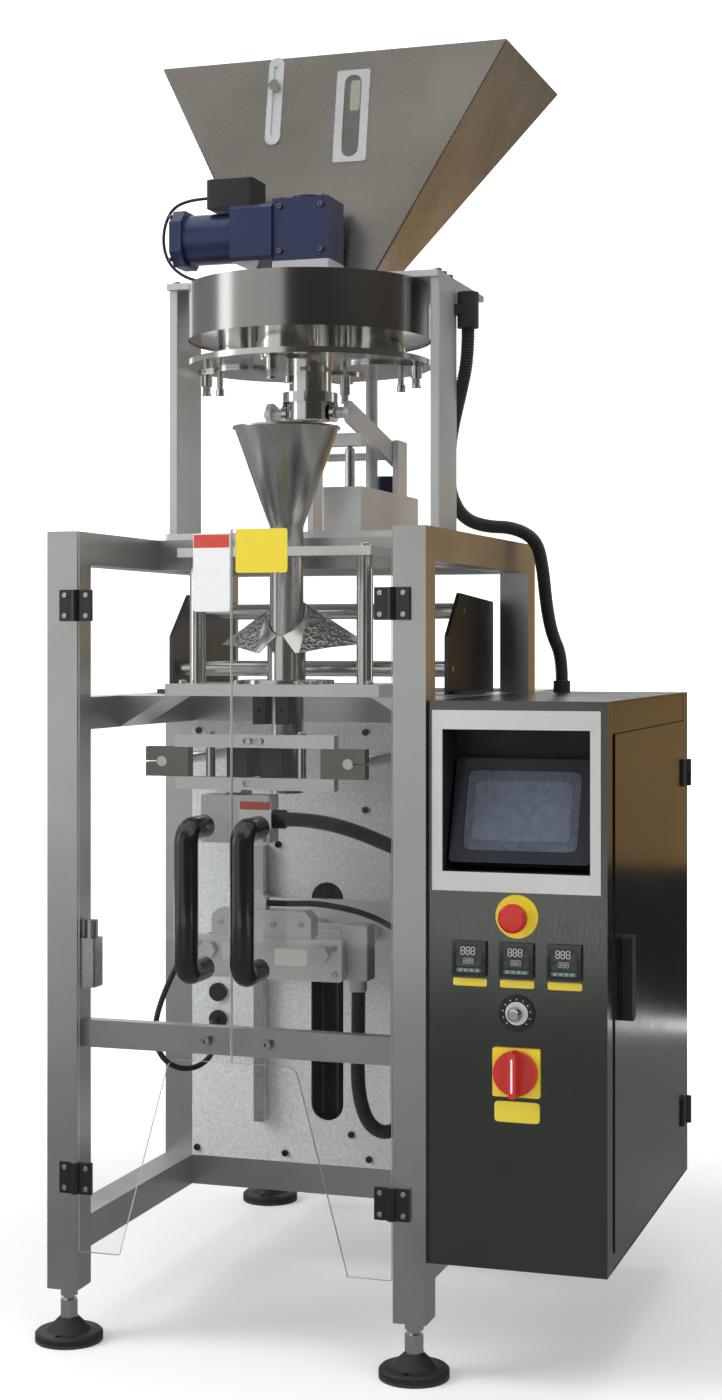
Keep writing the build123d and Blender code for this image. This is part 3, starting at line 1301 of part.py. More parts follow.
with BuildPart() as cabinet_hinges:
    for z_min in (250, 798):
        rod((side_pin_x, side_pin_y, z_min), "z", 22 - seat_gap, side_hinge_d)
        block((cabinet_right, side_pin_x), (side_pin_y, side_pin_y + 22), (z_min, z_min + 22 - seat_gap))
hinge_leaves = Compound(leaf_pieces + made(cabinet_hinges))
hinge_leaves.label = "hinge_leaves"
export_step(hinge_leaves, "parts/hinge_leaves.step")

# Glands, clips and grommets for the cords
gland_d = 28
small_gland_d = 16
gland_length = 18


def place(x, depth, z):
    """A point from the frame's left side, the front face and the floor."""
    return (left + x, front + depth, z)


main_top = place(532, 400, 1524)
main_end = place(630, 632, cabinet_top + gland_length)
clip_d = 34
clip_height = 56
clip_wall = portal_posts_x[1][1]
lead_end = (middle - mount_size[0] / 2, gear_y - 12, plate_top + 8)
seal_gland = (seal_box_x[1], seal_y[0] + 2 + seal_box_size[1] / 2, seal_box_top - seal_box_size[2] / 2)
wall_glands = {"seal": (place(580, 290, 695), gland_d), "jaw": (place(580, 310, 450), gland_d),
               "hose": (place(580, 300, 545), small_gland_d)}
with BuildPart() as cord_fittings:
    rod(main_top, "z", clip_height, clip_d)
    block((clip_wall, main_top[0]), (portal_y[1] - 8, portal_y[1] + 10),
          (main_top[2] + 20, main_top[2] + 36))
    rod((main_end[0], main_end[1], cabinet_top), "z", gland_length, gland_d)
    rod((lead_end[0] - gland_length / 2, lead_end[1], lead_end[2]), "x", gland_length / 2, small_gland_d - 4)
    rod((motor_box_x - gland_length / 2, gear_y, sum(box_z) / 2), "x", gland_length / 2, small_gland_d - 4)
    rod(seal_gland, "x", gland_length, gland_d)
    for centre, diameter in wall_glands.values():
        rod((centre[0] - gland_length, centre[1], centre[2]), "x", gland_length, diameter)
    for grommet_z in grommet_levels:
        rod((grommet_x, mid_y - 6, grommet_z), "y", 6, grommet_d + 8)
        rod((grommet_x, mid_y - 6, grommet_z), "y", panel_thick + 6, grommet_d - 2 * seat_gap)
    rod((cabinet_left + cabinet_width / 2, cabinet_y_span[1], cabinet_bottom + 60), "y", gland_length, gland_d)
    rod((cabinet_left + cabinet_width / 2, cabinet_y_span[1], cabinet_bottom + 60), "y", gland_length, 16,
        Mode.SUBTRACT)

# Air unit on the left post: a block with a regulator knob
with BuildPart() as air_unit:
    air_z = 560
    block((inner_left, inner_left + 24), (front + 8, front + 40), (air_z - 36, air_z + 36))
    fillet(air_unit.edges().filter_by(Axis.Z), 3)
    rod((inner_left + 12, front + 24, air_z + 36), "z", 26, 20)
cable_fittings = Compound(made(cord_fittings) + made(air_unit))
cable_fittings.label = "cable_fittings"
export_step(cable_fittings, "parts/cable_fittings.step")


def cord(name, route, diameter):
    """A round cord: straight runs through the route's points, joined by tangent arcs."""
    points = [Vector(*point) for point in route]
    radii = []
    for before, here, after in zip(points, points[1:], points[2:]):
        run_in = here - before
        run_out = after - here
        bend = math.radians(run_in.get_angle(run_out) / 2)
        radii.append(0.45 * min(run_in.length, run_out.length) / math.tan(bend))
    with BuildPart() as tube_part:
        with BuildLine() as path:
            FilletPolyline(*points, radius=radii)
        with BuildSketch(Plane(origin=points[0], z_dir=points[1] - points[0])):
            Circle(diameter / 2)
        sweep()
    length = path.wires()[0].length
    filled = tube_part.part.volume / (length * math.pi * diameter ** 2 / 4)
    print(name, "length", round(length), "filled", round(filled, 4), "radii", [round(radius) for radius in radii])
    tube_part.part.label = name
    export_step(tube_part.part, f"parts/{name}.step")


main_route = [main_top, place(532, 400, 1478), place(518, 408, 1424), place(500, 420, 1366),
              place(490, 433, 1308), place(491, 448, 1262), place(507, 470, 1228), place(537, 498, 1217),
              place(574, 526, 1217), place(606, 552, 1198), place(611, 576, 1152), place(611, 598, 1098),
              place(616, 616, 1046), place(630, 632, 1008), main_end]
cord("main_conduit", main_route, conduit_d)

lead_start = (motor_box_x - gland_length / 2, gear_y, sum(box_z) / 2)
lead_stop = (lead_end[0] - gland_length / 2, lead_end[1], lead_end[2])
lead_route = [lead_start, place(92, 332, sum(box_z) / 2), place(60, 331, 1730), place(46, 329, 1702),
              place(44, 327, 1670), place(54, 325, 1640), place(76, 324, 1619), place(108, 322, 1606),
              place(140, 316, 1603.4), place(172, 316, 1604), place(204, 320, 1608), lead_stop]
cord("motor_lead", lead_route, lead_d)

seal_start = (seal_gland[0] + gland_length, seal_gland[1], seal_gland[2])
seal_stop = (wall_glands["seal"][0][0] - gland_length, wall_glands["seal"][0][1], wall_glands["seal"][0][2])
seal_route = [seal_start, (seal_start[0] + 28, seal_start[1], seal_start[2]), place(394, 140, 762),
              place(428, 178, 746), place(460, 222, 724), place(490, 262, 706), place(526, 290, 695), seal_stop]
cord("seal_conduit", seal_route, conduit_d)

jaw_start = (sum(jaw_box_x) / 2, sum(jaw_box_y) / 2, jaw_z - jaw_gland)
jaw_stop = (wall_glands["jaw"][0][0] - gland_length, wall_glands["jaw"][0][1], wall_glands["jaw"][0][2])
jaw_route = [jaw_start, (jaw_start[0], jaw_start[1], 455), place(418, 190, 400), place(417, 200, 350),
             place(427, 210, 308), place(449, 222, 290), place(472, 236, 300), place(486, 250, 338),
             place(494, 272, 384), place(508, 296, 424), place(530, 310, 450), jaw_stop]
cord("jaw_conduit", jaw_route, conduit_d)

hose_start = (middle - 4, beam_y[0] + 6 + jaw_block[1] / 2, fitting_z + 9)
hose_stop = (wall_glands["hose"][0][0] - gland_length, wall_glands["hose"][0][1], wall_glands["hose"][0][2])
hose_route = [hose_start, (hose_start[0] + 34, hose_start[1], hose_start[2]), place(356, 172, 640),
              place(394, 182, 634), place(430, 196, 624), place(464, 216, 604), place(492, 244, 576),
              place(506, 280, 554), place(528, 300, 545), hose_stop]
cord("jaw_hose", hose_route, hose_d)

air_start = (middle - 135, rear_y_span[1] - 10, jaw_rod_z)
air_stop = (grommet_x, mid_y - 6, grommet_levels[0])
air_route = [air_start, (air_start[0] - 27, air_start[1], air_start[2]), place(104, 280, 546),
             place(86, 268, 508), place(70, 258, 466), place(61, 252, 424), place(66, 256, 384),
             place(86, 270, 360), place(110, 294, 354), place(126, 326, 366), place(122, 360, 390),
             (grommet_x, front + 396, grommet_levels[0]), air_stop]
cord("air_hose", air_route, hose_d)
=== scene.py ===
# %% [markdown]
# # Dressing an upright bagging machine
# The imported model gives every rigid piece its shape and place. This lesson adds what the eye
# looks for next: brushed and polished steel, blasted plates, clear doors, ribbed hoses, screws,
# a screen and small plates. Everything is in metres, Z up, with the floor at zero.

# %% Load the machine
import json
import math
import bmesh
import bpy
import numpy as np
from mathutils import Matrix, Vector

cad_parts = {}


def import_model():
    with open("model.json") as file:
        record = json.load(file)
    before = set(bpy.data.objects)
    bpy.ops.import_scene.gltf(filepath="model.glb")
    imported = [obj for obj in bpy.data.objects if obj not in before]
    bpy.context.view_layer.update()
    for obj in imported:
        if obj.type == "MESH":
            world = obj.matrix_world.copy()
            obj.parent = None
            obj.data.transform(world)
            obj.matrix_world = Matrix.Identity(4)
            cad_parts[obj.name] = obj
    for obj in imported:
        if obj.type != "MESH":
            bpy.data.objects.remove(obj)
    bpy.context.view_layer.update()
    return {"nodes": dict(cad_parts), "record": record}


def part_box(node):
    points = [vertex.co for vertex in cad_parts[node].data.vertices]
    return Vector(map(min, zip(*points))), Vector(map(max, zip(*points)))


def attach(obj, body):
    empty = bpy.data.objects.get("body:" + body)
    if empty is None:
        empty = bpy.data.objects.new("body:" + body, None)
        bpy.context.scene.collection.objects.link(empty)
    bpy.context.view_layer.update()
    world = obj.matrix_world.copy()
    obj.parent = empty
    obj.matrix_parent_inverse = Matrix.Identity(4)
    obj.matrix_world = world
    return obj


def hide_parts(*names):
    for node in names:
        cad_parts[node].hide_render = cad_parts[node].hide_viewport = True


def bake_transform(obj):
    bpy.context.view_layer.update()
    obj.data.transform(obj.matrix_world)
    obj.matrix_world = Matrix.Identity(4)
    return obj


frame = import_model()
nodes = frame["nodes"]

# %% [markdown]
# Places on the machine count from its own left post: X across, depth from the front face,
# height from the floor, in millimetres. They were read from a photo through a solved camera,
# so they are estimates. One small function turns such a reading into a place in the scene.

# %% A place on the machine
LEFT = -0.412
FRONT = -0.421


def at(x, depth, z):
    """A point from the left post, the front face and the floor, in millimetres, as metres in the scene."""
    return (LEFT + x / 1000, FRONT + depth / 1000, z / 1000)


# %% [markdown]
# The camera stands in front, a little to the right, at about the height of the doors. Its lens
# looks level, so the posts stay upright in the picture; a very small shift sets the framing.
# A small helper puts each new object into the scene, here and in the later steps.

# %% Camera


def placed(name, data):
    """A new object for some data, put into the scene."""
    made = bpy.data.objects.new(name, data)
    bpy.context.scene.collection.objects.link(made)
    return made


camera_data = bpy.data.cameras.new("camera")
camera_data.lens = 55.6
camera_data.sensor_width = 36
camera_data.shift_x = -0.0021
camera_data.shift_y = -0.039
camera = placed("camera", camera_data)
camera.location = (1.0125, -3.3027, 1.0256)
camera.rotation_euler = (math.radians(90), 0, math.radians(17.97))
bpy.context.scene.camera = camera
bpy.context.scene.view_settings.view_transform = "Standard"
print("camera at", tuple(camera.location))

# %% [markdown]
# A surface in this lesson is a grid: two parameters, u and v, and a formula that gives a point
# for each pair. The formula is worked out for the whole grid at once, and the mesh takes the
# points and the quads between them in one step. Closed rings join their last column to the first.

# %% From a grid of points to a mesh


def grid_mesh(name, points, closed=False, smooth=True):
    """A mesh through an array of points shaped (rows, columns, 3), with quads between neighbours."""
    rows, columns = points.shape[:2]
    index = np.arange(rows * columns).reshape(rows, columns)
    following = np.roll(index, -1, axis=1) if closed else index[:, 1:]
    here = index if closed else index[:, :-1]
    quads = np.stack([here[:-1], following[:-1], following[1:], here[1:]], axis=-1).reshape(-1, 4)
    mesh = bpy.data.meshes.new(name)
    mesh.from_pydata(points.reshape(-1, 3), [], quads)
    mesh.polygons.foreach_set("use_smooth", np.full(len(mesh.polygons), smooth))
    return mesh


def full_turn(count):
    """Evenly spaced angles round a circle."""
    return np.linspace(0, 2 * np.pi, count, endpoint=False)


def circle(side, up, angle):
    """side × cos a + up × sin a, for every angle a."""
    return side * np.cos(angle)[:, None] + up * np.sin(angle)[:, None]


def piece(name, mesh, body, material):
    """An object for a mesh, dressed in its material, that moves with one body of the machine."""
    mesh.materials.append(material)
    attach(placed(name, mesh), body)


def weld(mesh):
    """Merge points that lie on each other, so that the middle of each head and plate is closed."""
    work = bmesh.new()
    work.from_mesh(mesh)
    bmesh.ops.remove_doubles(work, verts=work.verts, dist=1e-7)
    bmesh.ops.dissolve_degenerate(work, edges=work.edges, dist=1e-8)
    work.to_mesh(mesh)
    work.free()
    return mesh


def joined(parts):
    """Several point arrays with their quads, put one after another into a single pair of arrays."""
    points, faces, start = [], [], 0
    for part_points, part_faces in parts:
        points.append(part_points)
        faces.append(part_faces + start)
        start += len(part_points)
    return np.concatenate(points), np.concatenate(faces)


# %% [markdown]
# Most of the machine is bare metal. What makes metal readable is how its gloss changes from
# place to place: fine scratches in the direction of the brush, soft clouds where hands and
# cloths have been, and a faint relief. All of that comes from noise on the object's own
# coordinates, so it stays on the piece from every side.

# %% Node helpers


def blank(name, colour, metallic, roughness):
    """A material with its plain values on the shader's own sockets."""
    material = bpy.data.materials.new(name)
    material.use_nodes = True
    shader = material.node_tree.nodes["Principled BSDF"]
    shader.inputs["Base Color"].default_value = (*colour, 1)
    shader.inputs["Metallic"].default_value = metallic
    shader.inputs["Roughness"].default_value = roughness
    return material, shader


def feed(material, socket, value):
    """Wire another socket to a socket, or fill it with a value."""
    if isinstance(value, bpy.types.NodeSocket):
        material.node_tree.links.new(value, socket)
    else:
        socket.default_value = value


def node(material, kind, settings=None, **inputs):
    """Add a node, set its options, and fill or connect its inputs by name."""
    made = material.node_tree.nodes.new(kind)
    for key, value in (settings or {}).items():
        setattr(made, key, value)
    for key, value in inputs.items():
        by_number = key[0] == "i" and key[1:].isdigit()
        feed(material, made.inputs[int(key[1:]) if by_number else key.replace("_", " ")], value)
    return made


def maths(material, operation, first, second=0.5):
    """The result of one operation on two values or sockets."""
    return node(material, "ShaderNodeMath", {"operation": operation}, i0=first, i1=second).outputs[0]


def noise(material, size, stretch=(1, 1, 1), detail=3.0):
    """Noise on object coordinates: size is the width of a spot in metres, and stretch lengthens it per axis."""
    where = node(material, "ShaderNodeTexCoord").outputs["Object"]
    scale = tuple(1 / (size * s) for s in stretch)
    mapped = node(material, "ShaderNodeMapping", i0=where, Scale=scale).outputs[0]
    return node(material, "ShaderNodeTexNoise", Vector=mapped, Scale=1.0, Detail=detail).outputs["Fac"]


def remap(material, value, low, high, start=0.3, end=0.7):
    """Stretch a noise value from the band where it mostly lies to low and high."""
    made = node(material, "ShaderNodeMapRange", i0=value, i1=start, i2=end, i3=low, i4=high)
    return made.outputs[0]


def blend_colour(material, factor, first, second):
    """A mix of two colours, or of two colour sockets, by a factor."""
    made = node(material, "ShaderNodeMix", {"data_type": "RGBA"}, i0=factor)
    for socket, value in ((made.inputs[6], first), (made.inputs[7], second)):
        feed(material, socket, (*value, 1) if isinstance(value, tuple) else value)
    return made.outputs[2]


def link(material, socket, target):
    """A wire from one socket to another."""
    material.node_tree.links.new(socket, target)


# %% [markdown]
# The frame is satin, the back panel blasted, the collar dimpled and the drum polished. One recipe
# makes all of them: only the width and direction of its noise, the gloss and the relief differ.

# %% Metals


def metal(name, colour, rough, stretch=(1, 1, 12), grain=0.0007, cloud=0.10, relief=0.00004, spread=0.25,
          cloud_size=0.16, bare=1.0):
    """Bare metal: colour clouds, brushed variation of the gloss, and a faint relief along the same brush lines."""
    material, shader = blank(name, colour, bare, rough)
    clouds = noise(material, cloud_size, detail=4)
    dark = tuple(c * (1 - cloud) for c in colour)
    light = tuple(min(1, c * (1 + cloud)) for c in colour)
    link(material, blend_colour(material, remap(material, clouds, 0, 1), dark, light), shader.inputs["Base Color"])
    lines = noise(material, grain, stretch, detail=2)
    gloss = maths(material, "ADD", remap(material, lines, -0.5, 0.5), remap(material, clouds, -0.4, 0.4))
    gloss = remap(material, gloss, rough * (1 - spread), rough * (1 + spread), -0.6, 0.6)
    link(material, gloss, shader.inputs["Roughness"])
    bump = node(material, "ShaderNodeBump", Height=lines, Distance=relief, Strength=0.6)
    link(material, bump.outputs[0], shader.inputs["Normal"])
    return material


frame_steel = metal("frame_steel", (0.60, 0.605, 0.59), 0.30, (1, 1, 30), 0.0008, 0.09, 0.000004, 0.08)
blasted_steel = metal("blasted_steel", (0.80, 0.81, 0.82), 0.48, (1, 1, 1), 0.0022, 0.14, 0.0004, 0.3, 0.004, 0.25)
plain_plate = metal("plain_plate", (0.74, 0.74, 0.73), 0.34, (20, 1, 1), 0.0008, 0.07, 0.000005, 0.1, bare=0.5)
portal_plate = metal("portal_plate", (0.62, 0.63, 0.64), 0.42, (1, 1, 1), 0.0016, 0.06, 0.00008, 0.2, bare=0.6)
polished = metal("polished", (0.74, 0.73, 0.71), 0.17, (1, 1, 40), 0.0008, 0.06, 0.000004, 0.3)
dark_steel = metal("dark_steel", (0.075, 0.078, 0.085), 0.32, (1, 1, 1), 0.0012, 0.12, 0.00001)
hopper_steel = metal("hopper_steel", (0.60, 0.58, 0.545), 0.28, (1, 1, 24), 0.0012, 0.13, 0.000003, 0.10, 0.22)
dark_alloy = metal("dark_alloy", (0.26, 0.26, 0.23), 0.42, (1, 1, 1), 0.0012, 0.10)
zinc = metal("zinc", (0.66, 0.66, 0.64), 0.24, (1, 1, 1), 0.0015, 0.08, 0.000004)
satin_steel = metal("satin_steel", (0.60, 0.595, 0.58), 0.25, (1, 1, 40), 0.0009, 0.07, 0.000003, 0.12)
drum_steel = metal("drum_steel", (0.40, 0.395, 0.385), 0.20, (1, 1, 40), 0.0009, 0.04, 0.000001, 0.08)
cabinet_steel = metal("cabinet_steel", (0.145, 0.155, 0.148), 0.18, (1, 1, 26), 0.0006, 0.08, 0.00001, 0.3, 0.3)


def dimpled(name, colour, rough, size, depth):
    """Bare metal pressed all over with small dimples: the distance to scattered middles makes a second relief."""
    material = metal(name, colour, rough, (1, 1, 1), 0.0009, 0.05)
    shader = material.node_tree.nodes["Principled BSDF"]
    where = node(material, "ShaderNodeTexCoord").outputs["Object"]
    cells = node(material, "ShaderNodeTexVoronoi", Vector=where, Scale=1 / size).outputs["Distance"]
    bump = node(material, "ShaderNodeBump", Height=cells, Distance=depth, Strength=1.0)
    link(material, shader.inputs["Normal"].links[0].from_socket, bump.inputs["Normal"])
    link(material, bump.outputs[0], shader.inputs["Normal"])
    return material


dimpled_steel = dimpled("dimpled_steel", (0.55, 0.545, 0.53), 0.20, 0.0065, 0.0040)
print("metals ready")

# %% [markdown]
# Paint and moulded plastic scatter light below a clear skin. The colour hardly changes, but a
# fine orange-peel relief and a little dust in the gloss keep them from looking like a drawing.

# %% Paints and plastics


def moulded(name, colour, rough, peel=0.0012, relief=0.00006, dust=0.10, coat=0.0):
    """Paint or plastic: a slightly uneven colour, dusty gloss and a fine skin relief."""
    material, shader = blank(name, colour, 0.0, rough)
    clouds = noise(material, 0.05, detail=5)
    lifted = tuple(min(1, c + dust * 0.25) for c in colour)
    link(material, blend_colour(material, remap(material, clouds, 0, 0.5), colour, lifted), shader.inputs["Base Color"])
    link(material, remap(material, clouds, rough * 0.8, rough * 1.3), shader.inputs["Roughness"])
    bump = node(material, "ShaderNodeBump", Height=noise(material, peel), Distance=relief, Strength=0.7)
    link(material, bump.outputs[0], shader.inputs["Normal"])
    shader.inputs["Coat Weight"].default_value = coat
    return material


motor_blue = moulded("motor_blue", (0.008, 0.018, 0.066), 0.30, dust=0.03, coat=0.3)
black_gloss = moulded("black_gloss", (0.010, 0.010, 0.011), 0.16, dust=0.02, coat=0.4)
black_matt = moulded("black_matt", (0.016, 0.016, 0.017), 0.5, dust=0.04)
screen_shell = moulded("screen_shell", (0.012, 0.016, 0.026), 0.22, dust=0.02, coat=0.3)
grey_plastic = moulded("grey_plastic", (0.56, 0.57, 0.58), 0.45)
grey_enamel = moulded("grey_enamel", (0.60, 0.61, 0.62), 0.32, coat=0.2)
red_plastic = moulded("red_plastic", (0.55, 0.02, 0.015), 0.3, coat=0.2)
yellow_plate = moulded("yellow_plate", (0.82, 0.62, 0.02), 0.4)
print("paints ready")

# %% [markdown]
# Some nodes hold pieces of different colours: the base ring of the stop button is yellow, the
# dial plate below it is black. Their material looks at the place on the object and switches
# colour at a border that lies between the pieces, so each piece keeps one clean colour.

# %% Two finishes in one node


def along(material, axis):
    """One coordinate of the point on the object."""
    where = node(material, "ShaderNodeTexCoord").outputs["Object"]
    return node(material, "ShaderNodeSeparateXYZ", i0=where).outputs[axis]


def past(material, axis, border):
    """One past a border along an axis, and zero before it."""
    return maths(material, "GREATER_THAN", along(material, axis), border)


def before(material, axis, border):
    """One before a border along an axis, and zero past it."""
    return maths(material, "LESS_THAN", along(material, axis), border)


def mixed(name, base, *others):
    """One material from several recipes: the base everywhere, and each other one where all its tests are one."""
    material = bpy.data.materials.new(name)
    material.use_nodes = True
    tree = material.node_tree
    tree.nodes.clear()
    shown = copied(tree, base)
    for recipe, *borders in others:
        tests = [test(material, axis, border) for test, axis, border in borders]
        inside = tests[0] if len(tests) == 1 else maths(material, "MULTIPLY", *tests)
        mixer = node(material, "ShaderNodeMixShader", i0=inside, i1=shown)
        tree.links.new(copied(tree, recipe), mixer.inputs[2])
        shown = mixer.outputs[0]
    node(material, "ShaderNodeOutputMaterial", i0=shown)
    return material


def copied(tree, recipe):
    """Copy a recipe's nodes and wires into another tree, and return its shader's output."""
    copies = {}
    for old in recipe.node_tree.nodes:
        if old.bl_idname == "ShaderNodeOutputMaterial":
            continue
        new = tree.nodes.new(old.bl_idname)
        for setting in ("operation", "data_type"):
            if hasattr(old, setting):
                setattr(new, setting, getattr(old, setting))
        for a, b in zip(old.inputs, new.inputs):
            if hasattr(a, "default_value") and hasattr(b, "default_value"):
                b.default_value = a.default_value
        copies[old.name] = new
    for wire in recipe.node_tree.links:
        if wire.to_node.name in copies:
            out = list(wire.from_node.outputs).index(wire.from_socket)
            into = list(wire.to_node.inputs).index(wire.to_socket)
            tree.links.new(copies[wire.from_node.name].outputs[out], copies[wire.to_node.name].inputs[into])
    return next(c for c in copies.values() if c.bl_idname == "ShaderNodeBsdfPrincipled").outputs[0]


X, Y, Z = 0, 1, 2
# The motor's terminal box is black
motor_finish = mixed("motor_finish", motor_blue, (black_matt, (past, Z, 1.7175), (before, X, -0.203)))
# The side door's handle and hinges stand out from its sheet
side_door_finish = mixed("side_door_finish", cabinet_steel, (black_matt, (past, X, 0.4242)))
# Behind the clamps run bright rods
clamp_finish = mixed("clamp_finish", dark_alloy, (polished, (past, Y, -0.3108)))
# The dial's plate lies between the yellow ones
control_finish = mixed("control_finish", yellow_plate, (black_matt, (past, Z, 0.49), (before, Z, 0.58)))
# Behind the bezel's front face the tray is black
bezel_finish = mixed("bezel_finish", plain_plate, (black_matt, (past, Y, -0.4105)))
# Bright columns between the two plates, black blocks below the lower one
stand_finish = mixed("stand_finish", plain_plate, (polished, (past, Z, 0.967), (before, Z, 1.1601)),
                     (black_matt, (before, Z, 0.9488)))
# The collar's wings, to the right and the left of its sleeve
collar_finish = mixed("collar_finish", polished, (dimpled_steel, (past, X, -0.087)),
                      (dimpled_steel, (before, X, -0.157)))
# The air unit at the left post
fitting_finish = mixed("fitting_finish", black_matt, (zinc, (before, X, -0.3385)))
# The box below the yoke, and the posts between its two bars
yoke_finish = mixed("yoke_finish", plain_plate, (grey_enamel, (before, Z, 0.8055)),
                    (polished, (past, Z, 0.8311), (before, Z, 0.8749)))
print("finishes with borders ready")

# %% [markdown]
# The doors are clear acrylic. Seen face on they nearly vanish, and only the sawn edges catch
# the light. A mix of a transparent and a glossy shader by Fresnel gives that without the cost
# of real refraction, and the edges get a whiter, denser share, found by the direction of the
# surface itself.

# %% Clear sheet
clear = bpy.data.materials.new("clear_sheet")
clear.use_nodes = True
clear.node_tree.nodes.clear()
see_through = node(clear, "ShaderNodeBsdfTransparent", Color=(0.965, 0.975, 0.97, 1))
shine = node(clear, "ShaderNodeBsdfGlossy", Color=(1, 1, 1, 1), Roughness=0.03)
edge = node(clear, "ShaderNodeBsdfPrincipled")
edge.inputs["Base Color"].default_value = (0.90, 0.94, 0.93, 1)
edge.inputs["Roughness"].default_value = 0.25
fresnel = node(clear, "ShaderNodeFresnel", IOR=1.35)
smears = remap(clear, noise(clear, 0.09, detail=5), 0.5, 1.1)
share = maths(clear, "MULTIPLY", fresnel.outputs[0], smears)
faces = node(clear, "ShaderNodeMixShader", i0=share, i1=see_through.outputs[0], i2=shine.outputs[0])
facing = node(clear, "ShaderNodeSeparateXYZ", i0=node(clear, "ShaderNodeTexCoord").outputs["Normal"]).outputs[1]
flat_on = maths(clear, "ABSOLUTE", facing)
is_edge = maths(clear, "LESS_THAN", flat_on, 0.5)
edge_share = maths(clear, "MULTIPLY", is_edge, 0.9)
whole = node(clear, "ShaderNodeMixShader", i0=edge_share, i1=faces.outputs[0], i2=edge.outputs[0])
node(clear, "ShaderNodeOutputMaterial", i0=whole.outputs[0])
print("clear sheet ready")

# %% [markdown]
# Each solid is one object and takes one finish. Whatever material it brings is cleared first,
# and its shape stays as it is.

# %% Dress the solids
finishes = (
    (frame_steel, "frame"), (blasted_steel, "back_panel"), (stand_finish, "former_stand"),
    (satin_steel, "forming_tube"), (collar_finish, "forming_collar"), (clamp_finish, "seal_clamps"),
    (yoke_finish, "seal_yoke"), (dark_steel, "film_frame"), (drum_steel, "drum"),
    (motor_finish, "gear_motor"), (hopper_steel, "hopper"), (motor_blue, "lift_motor"),
    (cabinet_steel, "cabinet_shell"), (bezel_finish, "screen_bezel"), (screen_shell, "touch_screen"),
    (control_finish, "control_bases"), (fitting_finish, "cable_fittings"),
    (side_door_finish, "cabinet_door"), (grey_plastic, "jaw_box"), (portal_plate, "portal hopper_fittings"),
    (red_plastic, "stop_button main_switch"), (clear, "door_left_panel door_right_panel"),
    (black_matt, "foot_bases fin_jaw_left fin_jaw_right"), (zinc, "foot_studs speed_knob gate_screw"),
    (black_gloss, "hinge_leaves controllers door_left_fittings door_right_fittings"),
    (plain_plate, "deck_plate lift_base lift_fork jaw_carriage front_jaw rear_jaw"),
    (polished, "jaw_rails turntable lower_disc flap_1 flap_2 flap_3 flap_4 fork_roller_left "
               "fork_roller_right jack_screw guide_roller_1 guide_roller_2 film_shaft"),
)
for material, names in finishes:
    for name in names.split():
        nodes[name].data.materials.clear()
        nodes[name].data.materials.append(material)
print("dressed", sum(len(names.split()) for material, names in finishes), "solids")

# %% [markdown]
# A mirror shows every flat facet of a round part. So the nodes with round or bent faces get a
# smooth skin: a copy of their triangles with the common points merged, shaded smooth except
# where two faces meet at a sharp angle. The skin stands for the node and has the same shape.

# %% Smooth skins for the round parts
SHARP_FROM = math.radians(35)


def smooth_skin(name, body):
    """A welded, smoothly shaded copy of a node that stands for it and moves with the same body."""
    mesh = nodes[name].data.copy()
    if "custom_normal" in mesh.attributes:
        mesh.attributes.remove(mesh.attributes["custom_normal"])
    weld(mesh)
    mesh.polygons.foreach_set("use_smooth", np.ones(len(mesh.polygons), bool))
    mesh.set_sharp_from_angle(angle=SHARP_FROM)
    made = placed(name + "_skin", mesh)
    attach(made, body)
    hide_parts(name)


round_nodes = ("drum", "forming_tube", "turntable", "lower_disc", "film_shaft", "guide_roller_1",
               "guide_roller_2", "former_stand", "lift_fork", "door_left_fittings",
               "door_right_fittings", "gear_motor", "forming_collar")
for body, row in frame["record"]["behaviour"]["bodies"].items():
    for name in row:
        if name in round_nodes:
            smooth_skin(name, body)
print("smooth skins:", len(round_nodes))

# %% [markdown]
# The thick hoses are ribbed conduit, the thin ones are plain. Each follows a smooth curve whose
# control points are the same ones that the solid model uses. The curve is sampled, a ring is set
# square to it at every step, and on a thick hose the ring's radius rises and falls with the
# distance along it, which makes the ribs.

# %% Hose maker


def curve_line(name, route):
    """The smooth curve through a route: an order 3 spline that starts and ends in its end points."""
    curve = bpy.data.curves.new(name, "CURVE")
    curve.dimensions = "3D"
    spline = curve.splines.new("NURBS")
    spline.points.add(len(route) - 1)
    spline.points.foreach_set("co", np.array([(*p, 1) for p in route]).ravel())
    spline.order_u = 3
    spline.use_endpoint_u = True
    spline.resolution_u = 24
    return curve


def sampled(name, route, step):
    """Evenly spaced points along the smooth curve of a route, its length, and the directions there."""
    line = placed(name, curve_line(name, route))
    mesh = bpy.data.meshes.new_from_object(line)
    points = np.zeros(len(mesh.vertices) * 3)
    mesh.vertices.foreach_get("co", points)
    points = points.reshape(-1, 3)
    bpy.data.objects.remove(line)
    travelled = np.concatenate([[0], np.cumsum(np.linalg.norm(np.diff(points, axis=0), axis=1))])
    length = travelled[-1]
    stations = np.linspace(0, length, max(8, int(length / step)))
    line_points = np.stack([np.interp(stations, travelled, points[:, k]) for k in range(3)], axis=1)
    directions = np.gradient(line_points, axis=0)
    directions /= np.linalg.norm(directions, axis=1)[:, None]
    return line_points, directions, stations, length


def square_frames(directions):
    """Two directions square to the line at each station, carried over from the one before, so they don't twist."""
    side = np.zeros_like(directions)
    start = np.eye(3)[np.argmin(abs(directions[0]))]
    for k, forward in enumerate(directions):
        start = start - forward * (start @ forward)
        start = start / np.linalg.norm(start)
        side[k] = start
    return side, np.cross(directions, side)


